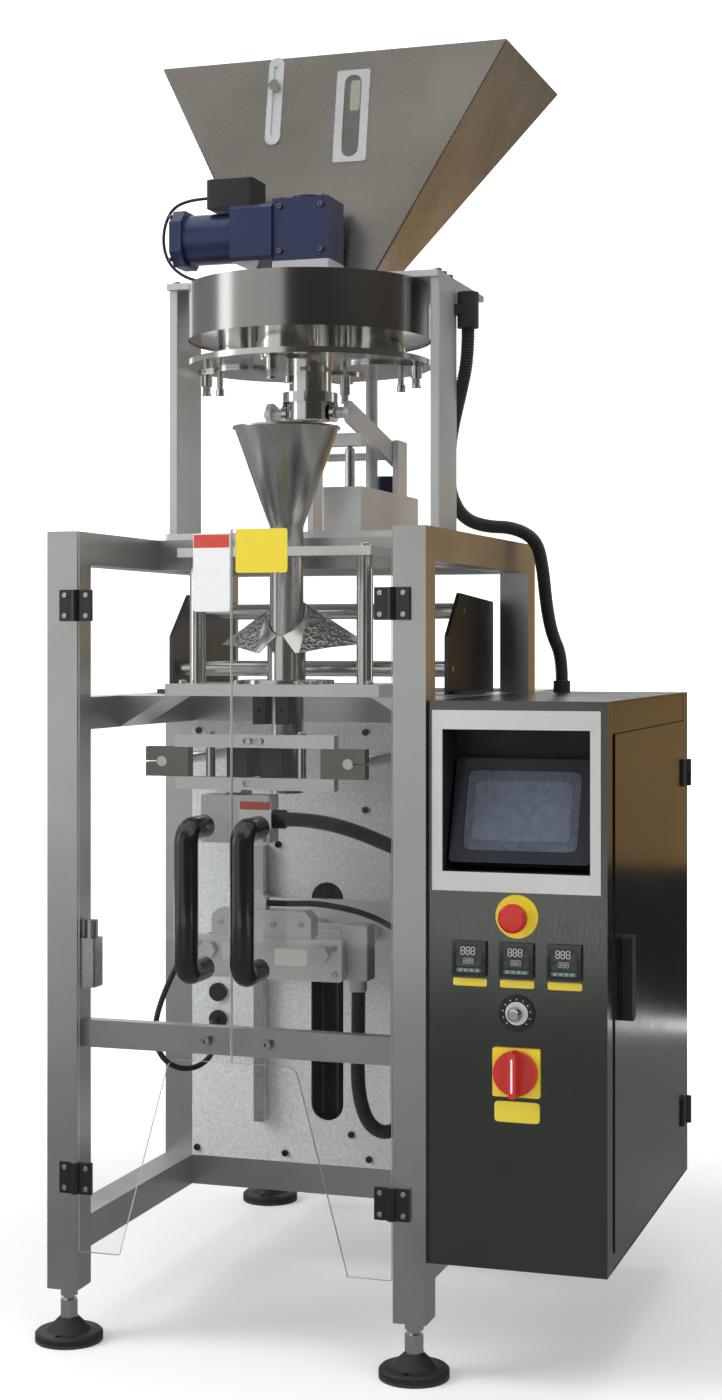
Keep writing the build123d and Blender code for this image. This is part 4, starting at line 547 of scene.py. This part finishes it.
def hose_mesh(name, route, diameter, pitch=0.0, depth=0.0, around=16):
    """A tube: centre + radius × (side × cos v + up × sin v), where the radius dips between the ribs."""
    step = pitch / 6 if pitch else diameter / 3
    line, directions, stations, length = sampled(name, route, step)
    side, up = square_frames(directions)
    radius = np.full(len(stations), diameter / 2)
    if pitch:
        radius = radius - depth * (0.5 - 0.5 * np.cos(2 * np.pi * stations / pitch)) ** 2
    ring = circle(side[:, None], up[:, None], full_turn(around))
    mesh = grid_mesh(name, line[:, None] + radius[:, None, None] * ring, closed=True)
    return mesh, line, length


hose_black = moulded("hose_black", (0.016, 0.016, 0.017), 0.36, dust=0.03)
hose_smooth = moulded("hose_smooth", (0.02, 0.02, 0.022), 0.42, dust=0.03)

# %% [markdown]
# Three hoses run to the jaw unit, which travels up and down. They are fixed at the cabinet or
# the back panel and reach the jaw unit at their other end. They are laid once, where the jaws
# stand now, and stay as they are when the jaws move.

# %% Lay the hoses
RIB_PITCH, RIB_DEPTH = 0.0042, 0.0016
RIBBED_FROM = 20
box_top = 1740.5
hose_routes = {
    "main_conduit": (22, [at(532, 400, 1524), at(532, 400, 1478), at(518, 408, 1424), at(500, 420, 1366),
                          at(490, 433, 1308), at(491, 448, 1262), at(507, 470, 1228), at(537, 498, 1217),
                          at(574, 526, 1217), at(606, 552, 1198), at(611, 576, 1152), at(611, 598, 1098),
                          at(616, 616, 1046), at(630, 632, 1008), at(630, 632, 967)]),
    "motor_lead": (5, [at(120, 332, box_top), at(92, 332, box_top), at(60, 331, 1730), at(46, 329, 1702),
                       at(44, 327, 1670), at(54, 325, 1640), at(76, 324, 1619), at(108, 322, 1606),
                       at(140, 316, 1603.4), at(172, 316, 1604), at(204, 320, 1608), at(233.5, 320, 1608)]),
    "seal_conduit": (22, [at(332, 112, 769.5), at(360, 112, 769.5), at(394, 140, 762), at(428, 178, 746),
                          at(460, 222, 724), at(490, 262, 706), at(526, 290, 695), at(562, 290, 695)]),
    "jaw_conduit": (22, [at(421.5, 184, 510), at(421.5, 184, 455), at(418, 190, 400), at(417, 200, 350),
                         at(427, 210, 308), at(449, 222, 290), at(472, 236, 300), at(486, 250, 338),
                         at(494, 272, 384), at(508, 296, 424), at(530, 310, 450), at(562, 310, 450)]),
    "jaw_hose": (9, [at(286, 161, 639), at(320, 161, 639), at(356, 172, 640), at(394, 182, 634),
                     at(430, 196, 624), at(464, 216, 604), at(492, 244, 576), at(506, 280, 554),
                     at(528, 300, 545), at(562, 300, 545)]),
    "air_hose": (9, [at(155, 295, 569), at(128, 295, 569), at(104, 280, 546), at(86, 268, 508),
                     at(70, 258, 466), at(61, 252, 424), at(66, 256, 384), at(86, 270, 360),
                     at(110, 294, 354), at(126, 326, 366), at(122, 360, 390), at(95, 396, 409),
                     at(95, 434, 409)]),
}
moving_hoses = {"jaw_conduit": (at(562, 310, 330), at(440, 200, 500)),
                "jaw_hose": (at(562, 300, 545), at(452, 208, 612)),
                "air_hose": (at(95, 434, 409), at(150, 295, 569))}
for name, (diameter, route) in hose_routes.items():
    ribbed = diameter > RIBBED_FROM
    mesh, line, length = hose_mesh("hose_" + name, route, diameter / 1000, RIB_PITCH if ribbed else 0, RIB_DEPTH)
    mesh.materials.append(hose_black if ribbed else hose_smooth)
    hose = placed("hose_" + name, mesh)
    if name in moving_hoses:
        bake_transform(hose)
    else:
        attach(hose, "machine")
    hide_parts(name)
    print(name, "length", round(length, 3), "rings", len(line))

# %% [markdown]
# Screws, plates and marks are small, but they tell the size of everything else. A screw head is
# a turned profile: rings of different radius and height round an axis, where the rings of the
# socket are hexagons. A plate is a superellipse, which is a rectangle with soft corners, given
# a little thickness. Many of them go into one mesh, with their colour kept in an attribute.

# %% Screws and plates


def ring_grid(rings, columns):
    """The quads between rings that follow each other, each ring closed on itself."""
    index = np.arange(rings * columns).reshape(rings, columns)
    following = np.roll(index, -1, axis=1)
    return np.stack([index[:-1], following[:-1], following[1:], index[1:]], axis=-1).reshape(-1, 4)


def basis(out):
    """Two directions square to an outward direction, so that the three turn the same way as x, y and z."""
    out = np.array(out, float)
    out = out / np.linalg.norm(out)
    up = np.array([0, 0, 1.0]) if abs(out[2]) < 0.9 else np.array([0, 1.0, 0])
    side = np.cross(up, out)
    side = side / np.linalg.norm(side)
    return side, np.cross(out, side), out


AHEAD = (0, -1, 0)
UPWARD = (0, 0, 1)
HEAD_POINTS = 24
PLATE_POINTS = 32


def screw_head(place, out, diameter, height, socket=0.45):
    """place + radius × (side × cos a + up × sin a) + out × level.

    A socket ring's radius is r / cos of the angle to the middle of its nearest flat.
    """
    side, up, out = basis(out)
    angle = full_turn(HEAD_POINTS)
    flat = np.cos(np.mod(angle, np.pi / 3) - np.pi / 6)
    r = diameter / 2
    rings = [(1.0, 0.0, 0), (1.0, 0.8, 0), (0.9, 1.0, 0), (socket + 0.12, 1.0, 0),
             (socket, 1.0, 1), (socket, 0.35, 1), (0.0, 0.3, 0)]
    turn = circle(side, up, angle)
    points = []
    for share, level, hexed in rings:
        radius = r * share / flat * 0.9 if hexed else np.full(HEAD_POINTS, r * share)
        points.append(np.array(place) + radius[:, None] * turn + out * height * level)
    return np.concatenate(points), ring_grid(len(rings), HEAD_POINTS)


def screws(name, body, heads, material):
    """One mesh with many screw heads."""
    points, faces = joined([screw_head(*head) for head in heads])
    mesh = bpy.data.meshes.new(name)
    mesh.from_pydata(points, [], faces)
    print(name, len(heads), "heads")
    piece(name, weld(mesh), body, material)


def plate(centre, width, height, thick, colour, out=AHEAD, round_power=9):
    """centre + side × a |cos t|^(2/n) + up × b |sin t|^(2/n), with the signs kept.

    The rings run from the back edge to the middle of the front.
    """
    side, up, out = basis(out)
    t = full_turn(PLATE_POINTS) + np.pi / PLATE_POINTS
    x = np.sign(np.cos(t)) * abs(np.cos(t)) ** (2 / round_power) * width / 2
    y = np.sign(np.sin(t)) * abs(np.sin(t)) ** (2 / round_power) * height / 2
    lip = min(thick, 0.0004)
    shrink = 1 - 2 * lip / min(width, height)
    points = []
    for share, level in ((1, 0), (1, thick - lip), (shrink, thick), (0, thick)):
        points.append(np.array(centre) + side * (x * share)[:, None] + up * (y * share)[:, None] + out * level)
    return np.concatenate(points), ring_grid(4, PLATE_POINTS), colour


def plates(name, body, items, material):
    """One mesh with many plates, and each one's colour in the attribute paint."""
    made = [plate(*item) for item in items]
    points, faces = joined([(m[0], m[1]) for m in made])
    mesh = bpy.data.meshes.new(name)
    mesh.from_pydata(points, [], faces)
    paint = mesh.color_attributes.new("paint", "FLOAT_COLOR", "POINT")
    colours = np.concatenate([np.tile((*m[2], 1), (len(m[0]), 1)) for m in made])
    paint.data.foreach_set("color", colours.ravel())
    print(name, len(items), "plates")
    piece(name, weld(mesh), body, material)


def painted(name, rough, coat=0.0):
    """Paint whose colour comes from the mesh, with a little dust and an uneven gloss."""
    material, shader = blank(name, (0.5, 0.5, 0.5), 0.0, rough)
    colour = node(material, "ShaderNodeVertexColor", {"layer_name": "paint"}).outputs[0]
    dust = remap(material, noise(material, 0.01, detail=5), 0, 0.08)
    link(material, blend_colour(material, dust, colour, (0.5, 0.5, 0.5)), shader.inputs["Base Color"])
    link(material, remap(material, noise(material, 0.02), rough * 0.8, rough * 1.3), shader.inputs["Roughness"])
    shader.inputs["Coat Weight"].default_value = coat
    return material


print_paint = painted("print_paint", 0.35)
screen_paint = painted("screen_paint", 0.12, 0.5)

# %% [markdown]
# The solids don't have these screw heads. They are set on the faces in rows, and each group is
# one mesh that moves with one body, so that a door or the jaw unit takes its screws along.

# %% Screw heads on the machine
DOORS_MIDDLE, PIN_REACH, HEAD_REACH = 290, 242, 17
hinge_heads = {"machine": [], "door_left": [], "door_right": []}
for sign, door in ((-1, "door_left"), (1, "door_right")):
    for level in (224, 1061):
        for lift in (8, 38):
            for body, side in (("machine", sign), (door, -sign)):
                x = DOORS_MIDDLE + sign * PIN_REACH + side * HEAD_REACH
                hinge_heads[body].append((at(x, -6, level + lift), AHEAD, 0.0075, 0.002))
for body, heads in hinge_heads.items():
    screws("hinge_screws_" + body, body, heads, zinc)
panel_places = ((57, 195), (212, 196), (356, 196), (326, 234), (520, 196), (60, 885), (200, 885),
                (350, 885), (520, 885), (350, 760), (200, 700))
panel_heads = [(at(x, 440, z), AHEAD, 0.011, 0.004) for x, z in panel_places]
screws("panel_screws", "machine", panel_heads, black_matt)
# Each row: places across, depths, heights, where the heads look, diameter, height, at times the socket
screw_groups = (
    ("rail_screws", "machine", zinc, (
        ((173, 407), [419.48], range(265, 700, 60), AHEAD, 0.008, 0.0005),)),
    ("crossbar_screws", "machine", zinc, (
        ((245, 339), [19], [455], AHEAD, 0.016, 0.009, 0.4),)),
    ("yoke_screws", "machine", zinc, (
        ((281, 299), [90], [884.5], AHEAD, 0.009, 0.001),
        ((144, 436), [90], [853], AHEAD, 0.016, 0.0006, 0.1),
        ((218.5, 361.5), [100], [894], UPWARD, 0.012, 0.005))),
    ("former_screws", "machine", zinc, (
        ((155, 425), [204], [1174], UPWARD, 0.014, 0.006),
        ((170, 290, 410), [270], [1174], UPWARD, 0.012, 0.006),
        ((140, 230, 350, 440), [180], [967], UPWARD, 0.012, 0.006))),
    ("motor_screws", "machine", dark_alloy, (
        ([71], (298, 366), (1640, 1708), (-1, 0, 0), 0.007, 0.004),
        ((256, 324), [294], (1642, 1712), AHEAD, 0.009, 0.005),
        ((256, 324), (302, 362), [1725], UPWARD, 0.008, 0.004),
        ((137, 200), (308, 356), [1763], UPWARD, 0.007, 0.002))),
    ("portal_screws", "machine", zinc, (
        ((73, 507), (315, 345, 380), [1600], UPWARD, 0.013, 0.006),
        ((190, 240, 380), (480, 540), [1600], UPWARD, 0.011, 0.005))),
    ("jaw_screws", "front_jaw", zinc, (
        ((182, 398), [140], (540, 578), AHEAD, 0.01, 0.003),
        ((215, 245, 300, 345), [146], [610], AHEAD, 0.009, 0.002))),
    ("seal_box_screws", "machine", zinc, (
        ((213, 307), [92], (741, 798), AHEAD, 0.007, 0.0015),)),
)
for name, body, material, rows in screw_groups:
    heads = [(at(x, depth, z), *rest) for across, depths, levels, *rest in rows
             for x in across for depth in depths for z in levels]
    screws(name, body, heads, material)

# %% [markdown]
# The display sits a little below the screen's frame and leans back with it. Its picture is only
# two flat fields. The controllers below show plain grey eights, made of seven strokes each, as
# such displays have. The plates on the machine are bare.

# %% Display, controllers and plain plates
LEAN = math.radians(18)
screen_out = (0, -math.cos(LEAN), math.sin(LEAN))
screen_up = np.array((0, math.sin(LEAN), math.cos(LEAN)))
screen_middle = np.array((0.2945, -0.37632, 0.79583)) - np.array(screen_out) * 0.0013


def on_screen(x, y, width, height, colour, lift=0.0):
    """A field on the display: x to the right and y upwards from its middle."""
    centre = screen_middle + np.array((x, 0, 0)) + screen_up * y + np.array(screen_out) * lift
    return (tuple(centre), width, height, 0.0003, colour, screen_out, 14)


display = [on_screen(0, 0, 0.163, 0.115, (0.055, 0.070, 0.100))]
display += [on_screen(0, 0, 0.140, 0.086, (0.085, 0.105, 0.150), 0.0003)]
plates("display", "machine", display, screen_paint)

PANEL_Y = -0.4115
DISPLAY_Y = PANEL_Y - 0.0065
FIGURES_Y = PANEL_Y - 0.0068
DIAL_Y = PANEL_Y - 0.003
CONTROLLER_X = (0.229, 0.296, 0.363)
PANEL_X = 0.296
DIAL_Z = 0.520
TICK_REACH = 0.0195
YELLOW = (0.80, 0.62, 0.03)
RED = (0.62, 0.05, 0.03)
# Each stroke of an eight: its place across and up in half heights, and whether it lies flat
STROKES = ((0, 1, True), (0.5, 0.5, False), (0.5, -0.5, False), (0, -1, True), (-0.5, -0.5, False),
           (-0.5, 0.5, False), (0, 0, True))


def eights(x, z, height, colour):
    """Three eights in a row: each stroke is a thin plate, across or upright."""
    items = []
    long, short = height * 0.40, height * 0.10
    for number in range(3):
        for sx, sz, across in STROKES:
            centre = (x + number * height * 0.72 + sx * height * 0.5, FIGURES_Y, z + sz * height * 0.5)
            items.append((centre, long if across else short, short if across else long, 0.0002, colour))
    return items


marks = []
for x in CONTROLLER_X:
    marks.append(((x, DISPLAY_Y, 0.597), 0.036, 0.030, 0.0003, (0.02, 0.022, 0.025)))
    marks += eights(x - 0.0085, 0.604, 0.010, (0.62, 0.66, 0.64))
    marks += eights(x - 0.0055, 0.590, 0.007, (0.45, 0.52, 0.50))
    marks.append(((x, DISPLAY_Y, 0.577), 0.036, 0.006, 0.0003, (0.02, 0.12, 0.12)))
    marks += [((x - 0.012 + k * 0.008, FIGURES_Y, 0.577), 0.0052, 0.004, 0.0003, (0.25, 0.26, 0.26))
              for k in range(4)]
    marks.append(((x, PANEL_Y, 0.560), 0.048, 0.011, 0.0005, YELLOW))
marks.append(((PANEL_X, PANEL_Y, 0.384), 0.064, 0.029, 0.0006, YELLOW))
marks.append(((PANEL_X, DIAL_Y, DIAL_Z), 0.032, 0.032, 0.0004, (0.62, 0.63, 0.62), AHEAD, 2))
plates("panel_plates", "machine", marks, print_paint)

ticks = []
for k in range(11):
    turn = math.radians(-135 + k * 27)
    spot = (PANEL_X + TICK_REACH * math.sin(turn), DIAL_Y, DIAL_Z + TICK_REACH * math.cos(turn))
    ticks.append((spot, 0.0018, 0.0018, 0.0003, (0.75, 0.75, 0.74), AHEAD, 2))
plates("dial_marks", "machine", ticks, print_paint)
lever = [((PANEL_X, -0.4437, 0.439), 0.003, 0.05, 0.0003, (0.9, 0.9, 0.88))]
plates("switch_marks", "main_switch", lever, print_paint)

sign_left = [((LEFT + 0.260, FRONT, 1.130), 0.057, 0.112, 0.0004, (0.84, 0.85, 0.86), AHEAD, 24),
             ((LEFT + 0.260, FRONT - 0.0004, 1.175), 0.055, 0.019, 0.0003, RED, AHEAD, 24)]
plates("door_plate_left", "door_left", sign_left, print_paint)
sign_right = [((LEFT + 0.3365, FRONT, 1.1605), 0.079, 0.063, 0.0004, (0.84, 0.66, 0.02), AHEAD, 24)]
plates("door_plate_right", "door_right", sign_right, print_paint)

# The cabinet's side above, below and behind its door: depth and height of the middle, length, height
strip_places = ((0.3355, 0.9252, 0.566, 0.0433), (0.3355, 0.1792, 0.566, 0.0213), (0.6171, 0.5465, 0.0035, 0.713))
side_strips = [((0.420, FRONT + depth, z), long, high, 0.002, (0.15, 0.16, 0.15), (1, 0, 0), 40)
               for depth, z, long, high in strip_places]
plates("cabinet_side_strips", "machine", side_strips, cabinet_steel)
inner_plates = [(at(292, 92, 776), 0.050, 0.040, 0.0004, (0.80, 0.80, 0.80), AHEAD, 20),
                (at(292, 91.6, 790), 0.048, 0.012, 0.0003, RED, AHEAD, 20)]
plates("box_plates", "machine", inner_plates, print_paint)
beam_plates = [(at(236, 140, 566), 0.030, 0.026, 0.0004, (0.82, 0.82, 0.80)),
               (at(330, 140, 562), 0.052, 0.026, 0.0004, (0.82, 0.82, 0.76))]
plates("beam_plates", "front_jaw", beam_plates, print_paint)

# %% [markdown]
# Small coil springs sit at the flaps below the turning disc. A coil is a circle carried along a
# helix. The wire's ring is set square to the helix by its own direction and the direction away
# from the axis, so the formula gives the whole spring at once.

# %% Springs under the lower disc


def coil_mesh(name, foot, radius, wire, height, turns):
    """foot + radius × (cos a, sin a) + rise, and round it wire / 2 × (outward × cos b + binormal × sin b)."""
    a = np.linspace(0, 2 * np.pi * turns, int(turns * 20))
    outward = np.stack([np.cos(a), np.sin(a), 0 * a], axis=1)
    line = np.array(foot) + outward * radius + np.stack([0 * a, 0 * a, height * a / a[-1]], axis=1)
    forward = np.gradient(line, axis=0)
    forward /= np.linalg.norm(forward, axis=1)[:, None]
    binormal = np.cross(forward, outward)
    tube = line[:, None] + wire / 2 * circle(outward[:, None], binormal[:, None], full_turn(8))
    caps = [np.repeat(line[k][None, None], 8, axis=1) for k in (0, -1)]
    return weld(grid_mesh(name, np.concatenate([caps[0], tube, caps[1]]), closed=True))


DRUM_X, DRUM_Y = -0.122, -0.081
flap_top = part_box("flap_1")[1][2]
for number in range(4):
    turn = math.radians(180 + 90 * number)
    out = np.array((math.sin(turn), math.cos(turn)))
    side = np.array((-out[1], out[0]))
    pin = np.array((DRUM_X, DRUM_Y)) + 0.175 * out
    follower = pin + 0.018 * side - 0.030 * out
    for name, place, low, radius, height, turns, body in (
            (f"pin_spring_{number + 1}", pin, 0.0335, 0.0062, 0.0105, 4, "lower_disc"),
            (f"flap_spring_{number + 1}", follower, 0.0295, 0.0052, 0.0250, 8, f"flap_{number + 1}")):
        coil = coil_mesh(name, (*place, flap_top - low), radius, 0.0016, height, turns)
        piece(name, coil, body, zinc)
print("springs below", round(flap_top, 4))

# %% [markdown]
# The hopper's sheets are welded along their edges. Each seam is a low bead: a half round carried
# along the straight edge, with a gentle wave in its thickness, as a hand leaves it.

# %% Weld beads on the hopper
weld_bead = metal("weld_bead", (0.20, 0.17, 0.14), 0.42, (1, 1, 1), 0.002, 0.2)


def bead_mesh(name, start, end, radius):
    """start + u × (end - start) + radius × (1 + 0.15 sin 300 u) × (side × cos b + up × sin b)."""
    start, end = np.array(start), np.array(end)
    side, up, _ = basis(end - start)
    u = np.linspace(0, 1, 160)
    swell = radius * (1 + 0.15 * np.sin(300 * u)) * np.where((u == 0) | (u == 1), 0, 1)
    ring = circle(side, up, full_turn(8))
    line = start + u[:, None] * (end - start)
    return weld(grid_mesh(name, line[:, None] + swell[:, None, None] * ring, closed=True))


seams = {"seam_right": (at(382, 374, 1607), at(583, 442.5, 1984)),
         "seam_left": (at(198, 374, 1607), at(-3, 442.5, 1984))}
for name, (foot, head) in seams.items():
    piece(name, bead_mesh(name, foot, head, 0.0016), "machine", weld_bead)
print("weld beads:", len(seams))

# %% [markdown]
# Behind the hopper's window lies a pane. From outside it is dark and glossy, a little greenish,
# with a paler field in its upper part. Its dark colour is painted shade: it stands for the unlit
# inside of the hopper, seen through the window.

# %% Window pane, painted shade of the hopper's inside
PANEL_RUN, PANEL_RISE = 66, 379
PANEL_LEAN = math.atan2(PANEL_RUN, PANEL_RISE)
pane_out = (0, -math.cos(PANEL_LEAN), math.sin(PANEL_LEAN))
pane_z = 1.877
pane_middle = np.array((LEFT + 0.333, FRONT + 0.374 + (pane_z - 1.606) * PANEL_RUN / PANEL_RISE, pane_z))
pane_middle = pane_middle + np.array(pane_out) * 0.00105
# The dark plate is painted shade for the unlit inside of the hopper; the second plate is the paler field
shaded_pane = [(tuple(pane_middle), 0.0285, 0.1385, 0.0003, (0.10, 0.10, 0.085), pane_out, 5),
        (tuple(pane_middle + np.array((0.004, 0.0059, 0.034))), 0.017, 0.052, 0.0006, (0.28, 0.27, 0.22), pane_out, 8)]
plates("window_painted_shade", "machine", shaded_pane, screen_paint)

# %% [markdown]
# What drives the jaws can't be seen: behind the slot of the back panel it is dark. A toothed belt
# is a likely drive, so one is put there, with a dark folded sheet behind it as its guard. The
# guard's black is also painted shade: it makes the slot as dark as the shade behind it. A belt
# is a flat loop: two straight runs and two half circles, with a shallow wave on the inside for
# the teeth.

# %% Belt behind the slot


def belt_mesh(name, x, depth, low, high, radius, width, thick, pitch):
    """A loop of straight, half circle, straight, half circle, with teeth as a wave on its inner face."""
    straight = high - low
    around = 2 * straight + 2 * np.pi * radius
    s = np.linspace(0, around, int(around / pitch * 4), endpoint=False)
    half = np.pi * radius
    stretches = [s < straight, s < straight + half, s < 2 * straight + half]
    angle = np.select(stretches, [0, (s - straight) / radius, np.pi], np.pi + (s - 2 * straight - half) / radius)
    rise = np.select(stretches, [low + s, high + 0 * s, high - (s - straight - half)], low)
    outward = np.stack([np.cos(angle), 0 * s, np.sin(angle)], axis=1)
    centre = np.stack([0 * s + x, 0 * s + depth, rise], axis=1)
    tooth = thick * (0.7 + 0.3 * np.sign(np.cos(2 * np.pi * s / pitch)))
    across = np.array([0, width / 2, 0])
    outer, inner = outward * radius, outward * (radius - tooth)[:, None]
    rings = [centre + outer - across, centre + outer + across, centre + inner + across, centre + inner - across]
    grid = np.stack(rings, axis=1)
    grid = np.concatenate([grid, grid[:1]])
    return weld(grid_mesh(name, grid, closed=True, smooth=False))


def channel_mesh(name, x, depth, low, high, sheet=0.0015):
    """A folded sheet: its outline in plan, out along the outer faces and back inside, from low to high."""
    outline = np.array([(x[0], depth[0]), (x[0], depth[1]), (x[1], depth[1]), (x[1], depth[0]),
                        (x[1] - sheet, depth[0]), (x[1] - sheet, depth[1] - sheet),
                        (x[0] + sheet, depth[1] - sheet), (x[0] + sheet, depth[0])])
    levels = np.linspace(low, high, 2)
    walls = np.concatenate([np.tile(outline, (2, 1)), np.repeat(levels, 8)[:, None]], axis=1).reshape(2, 8, 3)
    return grid_mesh(name, walls[:, ::-1], closed=True, smooth=False)


# The black guard is a belt cover, and its black is also painted shade for the dark inside of the slot
guard_and_shade = channel_mesh("belt_guard_and_shade", (LEFT + 0.244, LEFT + 0.324), (FRONT + 0.444, FRONT + 0.492), 0.200, 0.690)
piece("belt_guard_and_shade", guard_and_shade, "machine", black_gloss)
belt = belt_mesh("drive_belt", LEFT + 0.284, FRONT + 0.470, 0.235, 0.66, 0.014, 0.025, 0.003, 0.005)
piece("drive_belt", belt, "machine", hose_smooth)
print("belt points", len(belt.vertices))

# %% [markdown]
# The floor is a large pale sheet that curves up behind the machine, like paper in a studio.
# It takes the machine's shadow as paint does, and a little glow of its own makes it white in the
# picture. The glow grows away from the machine, and Light Path gives it only to rays that look
# at the sheet, so it adds no light to the machine.

# %% Floor


def looking(material):
    """One for rays that look: straight from the camera, through glass, or by way of a mirror."""
    rays = node(material, "ShaderNodeLightPath").outputs
    straight = maths(material, "MAXIMUM", rays["Is Camera Ray"], rays["Is Transmission Ray"])
    return maths(material, "MAXIMUM", straight, rays["Is Glossy Ray"])


stage_u, stage_v = np.meshgrid(np.linspace(-9, 9, 25), np.linspace(0, 1, 49))
run = np.interp(stage_v, [0, 0.6, 1], [-7, 5, 7])
rise = np.where(stage_v > 0.6, (1 - np.cos(np.clip((stage_v - 0.6) / 0.4, 0, 1) * np.pi / 2)) * 6, 0)
floor_mesh = grid_mesh("floor", np.stack([stage_u, run, rise], axis=-1))
floor_material, floor_shader = blank("floor_paper", (0.86, 0.86, 0.86), 0.0, 0.8)
link(floor_material, blend_colour(floor_material, remap(floor_material, noise(floor_material, 0.8), 0, 1),
                                  (0.85, 0.85, 0.855), (0.87, 0.87, 0.865)), floor_shader.inputs["Base Color"])
floor_place = node(floor_material, "ShaderNodeTexCoord").outputs["Object"]
away = node(floor_material, "ShaderNodeVectorMath", {"operation": "LENGTH"}, i0=floor_place).outputs["Value"]
glow = remap(floor_material, away, 0.25, 1.0, 0.8, 2.4)
lit = maths(floor_material, "MULTIPLY", looking(floor_material), glow)
floor_shader.inputs["Emission Color"].default_value = (1, 1, 1, 1)
link(floor_material, lit, floor_shader.inputs["Emission Strength"])
floor_mesh.materials.append(floor_material)
floor = placed("floor", floor_mesh)
print("floor faces:", len(floor_mesh.polygons))

# %% [markdown]
# Bare metal hardly has a colour of its own: it shows what stands around it. Its reflections in
# the photo are mostly dim, with a few bright streaks. So cards with a faint glow stand outside
# the picture, where only reflections see them: grey in front and at the left, dark to the right,
# brown and dark at the back, one on the floor, one high up in front, and a bright, narrow one at
# the left for the streak on the drum.

# %% Cards for the reflections


def card(name, left, right, low, high, glow):
    """An upright card between two places on the floor plan: left + u × (right - left), low + v × (high - low)."""
    u, v = np.meshgrid(np.linspace(0, 1, 2), np.linspace(0, 1, 2))
    plan = [left[k] + u * (right[k] - left[k]) for k in (0, 1)]
    hung_card(name, np.stack([*plan, low + v * (high - low)], axis=-1), glow)


def hung_card(name, points, glow):
    """A card through four corners, seen in reflections only, with a slightly uneven glow."""
    name = "card_" + name
    mesh = grid_mesh(name, points)
    material, shader = blank(name, (0, 0, 0), 0.0, 1.0)
    shader.inputs["Specular IOR Level"].default_value = 0.0
    shader.inputs["Emission Strength"].default_value = 1.0
    dimmer = tuple(c * 0.8 for c in glow)
    clouds = remap(material, noise(material, 0.5), 0, 1)
    link(material, blend_colour(material, clouds, glow, dimmer), shader.inputs["Emission Color"])
    mesh.materials.append(material)
    made = placed(name, mesh)
    made.visible_camera = made.visible_shadow = made.visible_diffuse = made.visible_transmission = False


card("front_grey", (-4.3, -2.6), (-0.55, -6.0), 0, 3.4, (0.70, 0.70, 0.69))
card("front_dark", (-0.55, -6.0), (5.0, -2.2), 0, 3.4, (0.055, 0.052, 0.048))
card("right_dark", (5.0, -2.2), (4.6, 2.6), 0, 3.4, (0.070, 0.058, 0.045))
card("high_front", (-6, -5.2), (5, -5.2), 3.4, 8.5, (0.30, 0.285, 0.265))
card("window", (-4.13, -1.36), (-3.66, -2.36), 0.8, 3.0, (2.6, 2.6, 2.6))
card("left_grey", (-3.9, 2.6), (-4.15, -1.3), 0, 3.4, (0.36, 0.36, 0.36))
card("back_dark", (-3.6, 2.6), (0.28, 2.6), 0.25, 1.30, (0.13, 0.13, 0.125))
card("back_brown", (0.30, 2.6), (2.9, 2.6), 0.42, 1.55, (0.30, 0.19, 0.085))
card("back_high", (0.30, 2.6), (2.9, 2.6), 1.55, 3.0, (0.17, 0.145, 0.115))
card("back_low", (0.30, 2.6), (2.9, 2.6), 0.0, 0.42, (0.030, 0.030, 0.034))
u, v = np.meshgrid(np.linspace(-4, 4, 2), np.linspace(-4.5, 2.4, 2))
hung_card("floor", np.stack([u, v, 0 * u + 0.004], axis=-1), (0.225, 0.23, 0.22))
print("cards hung")

# %% [markdown]
# Soft lamps light the paint, the plastics and the floor. The metals don't mirror them, because
# a lamp that is small and strong would burn a white patch into every polished piece.

# %% Lamps and world


def lamp(name, place, target, size, power):
    """A large soft lamp at a place, turned to a target."""
    data = bpy.data.lights.new(name, "AREA")
    data.shape = "RECTANGLE"
    data.size, data.size_y = size
    data.energy = power
    made = placed(name, data)
    made.location = place
    away = np.array(place) - np.array(target)
    made.rotation_euler = (math.atan2(math.hypot(away[0], away[1]), away[2]), 0, math.atan2(away[0], -away[1]))
    made.visible_glossy = False


lamp("key", (-3.3, -2.4, 2.8), (0, 0, 1.0), (2.2, 2.6), 110)
lamp("fill", (3.0, -3.0, 1.8), (0, 0, 0.9), (1.6, 2.4), 32)
lamp("top", (0, -0.4, 4.2), (0, 0, 1.0), (3.0, 3.0), 60)
world = bpy.data.worlds.new("studio_world")
world.use_nodes = True
bpy.context.scene.world = world
background = world.node_tree.nodes["Background"]
background.inputs[0].default_value = (1, 1, 1, 1)
link(world, remap(world, looking(world), 0.42, 1.0, 0, 1), background.inputs[1])
print("studio ready")
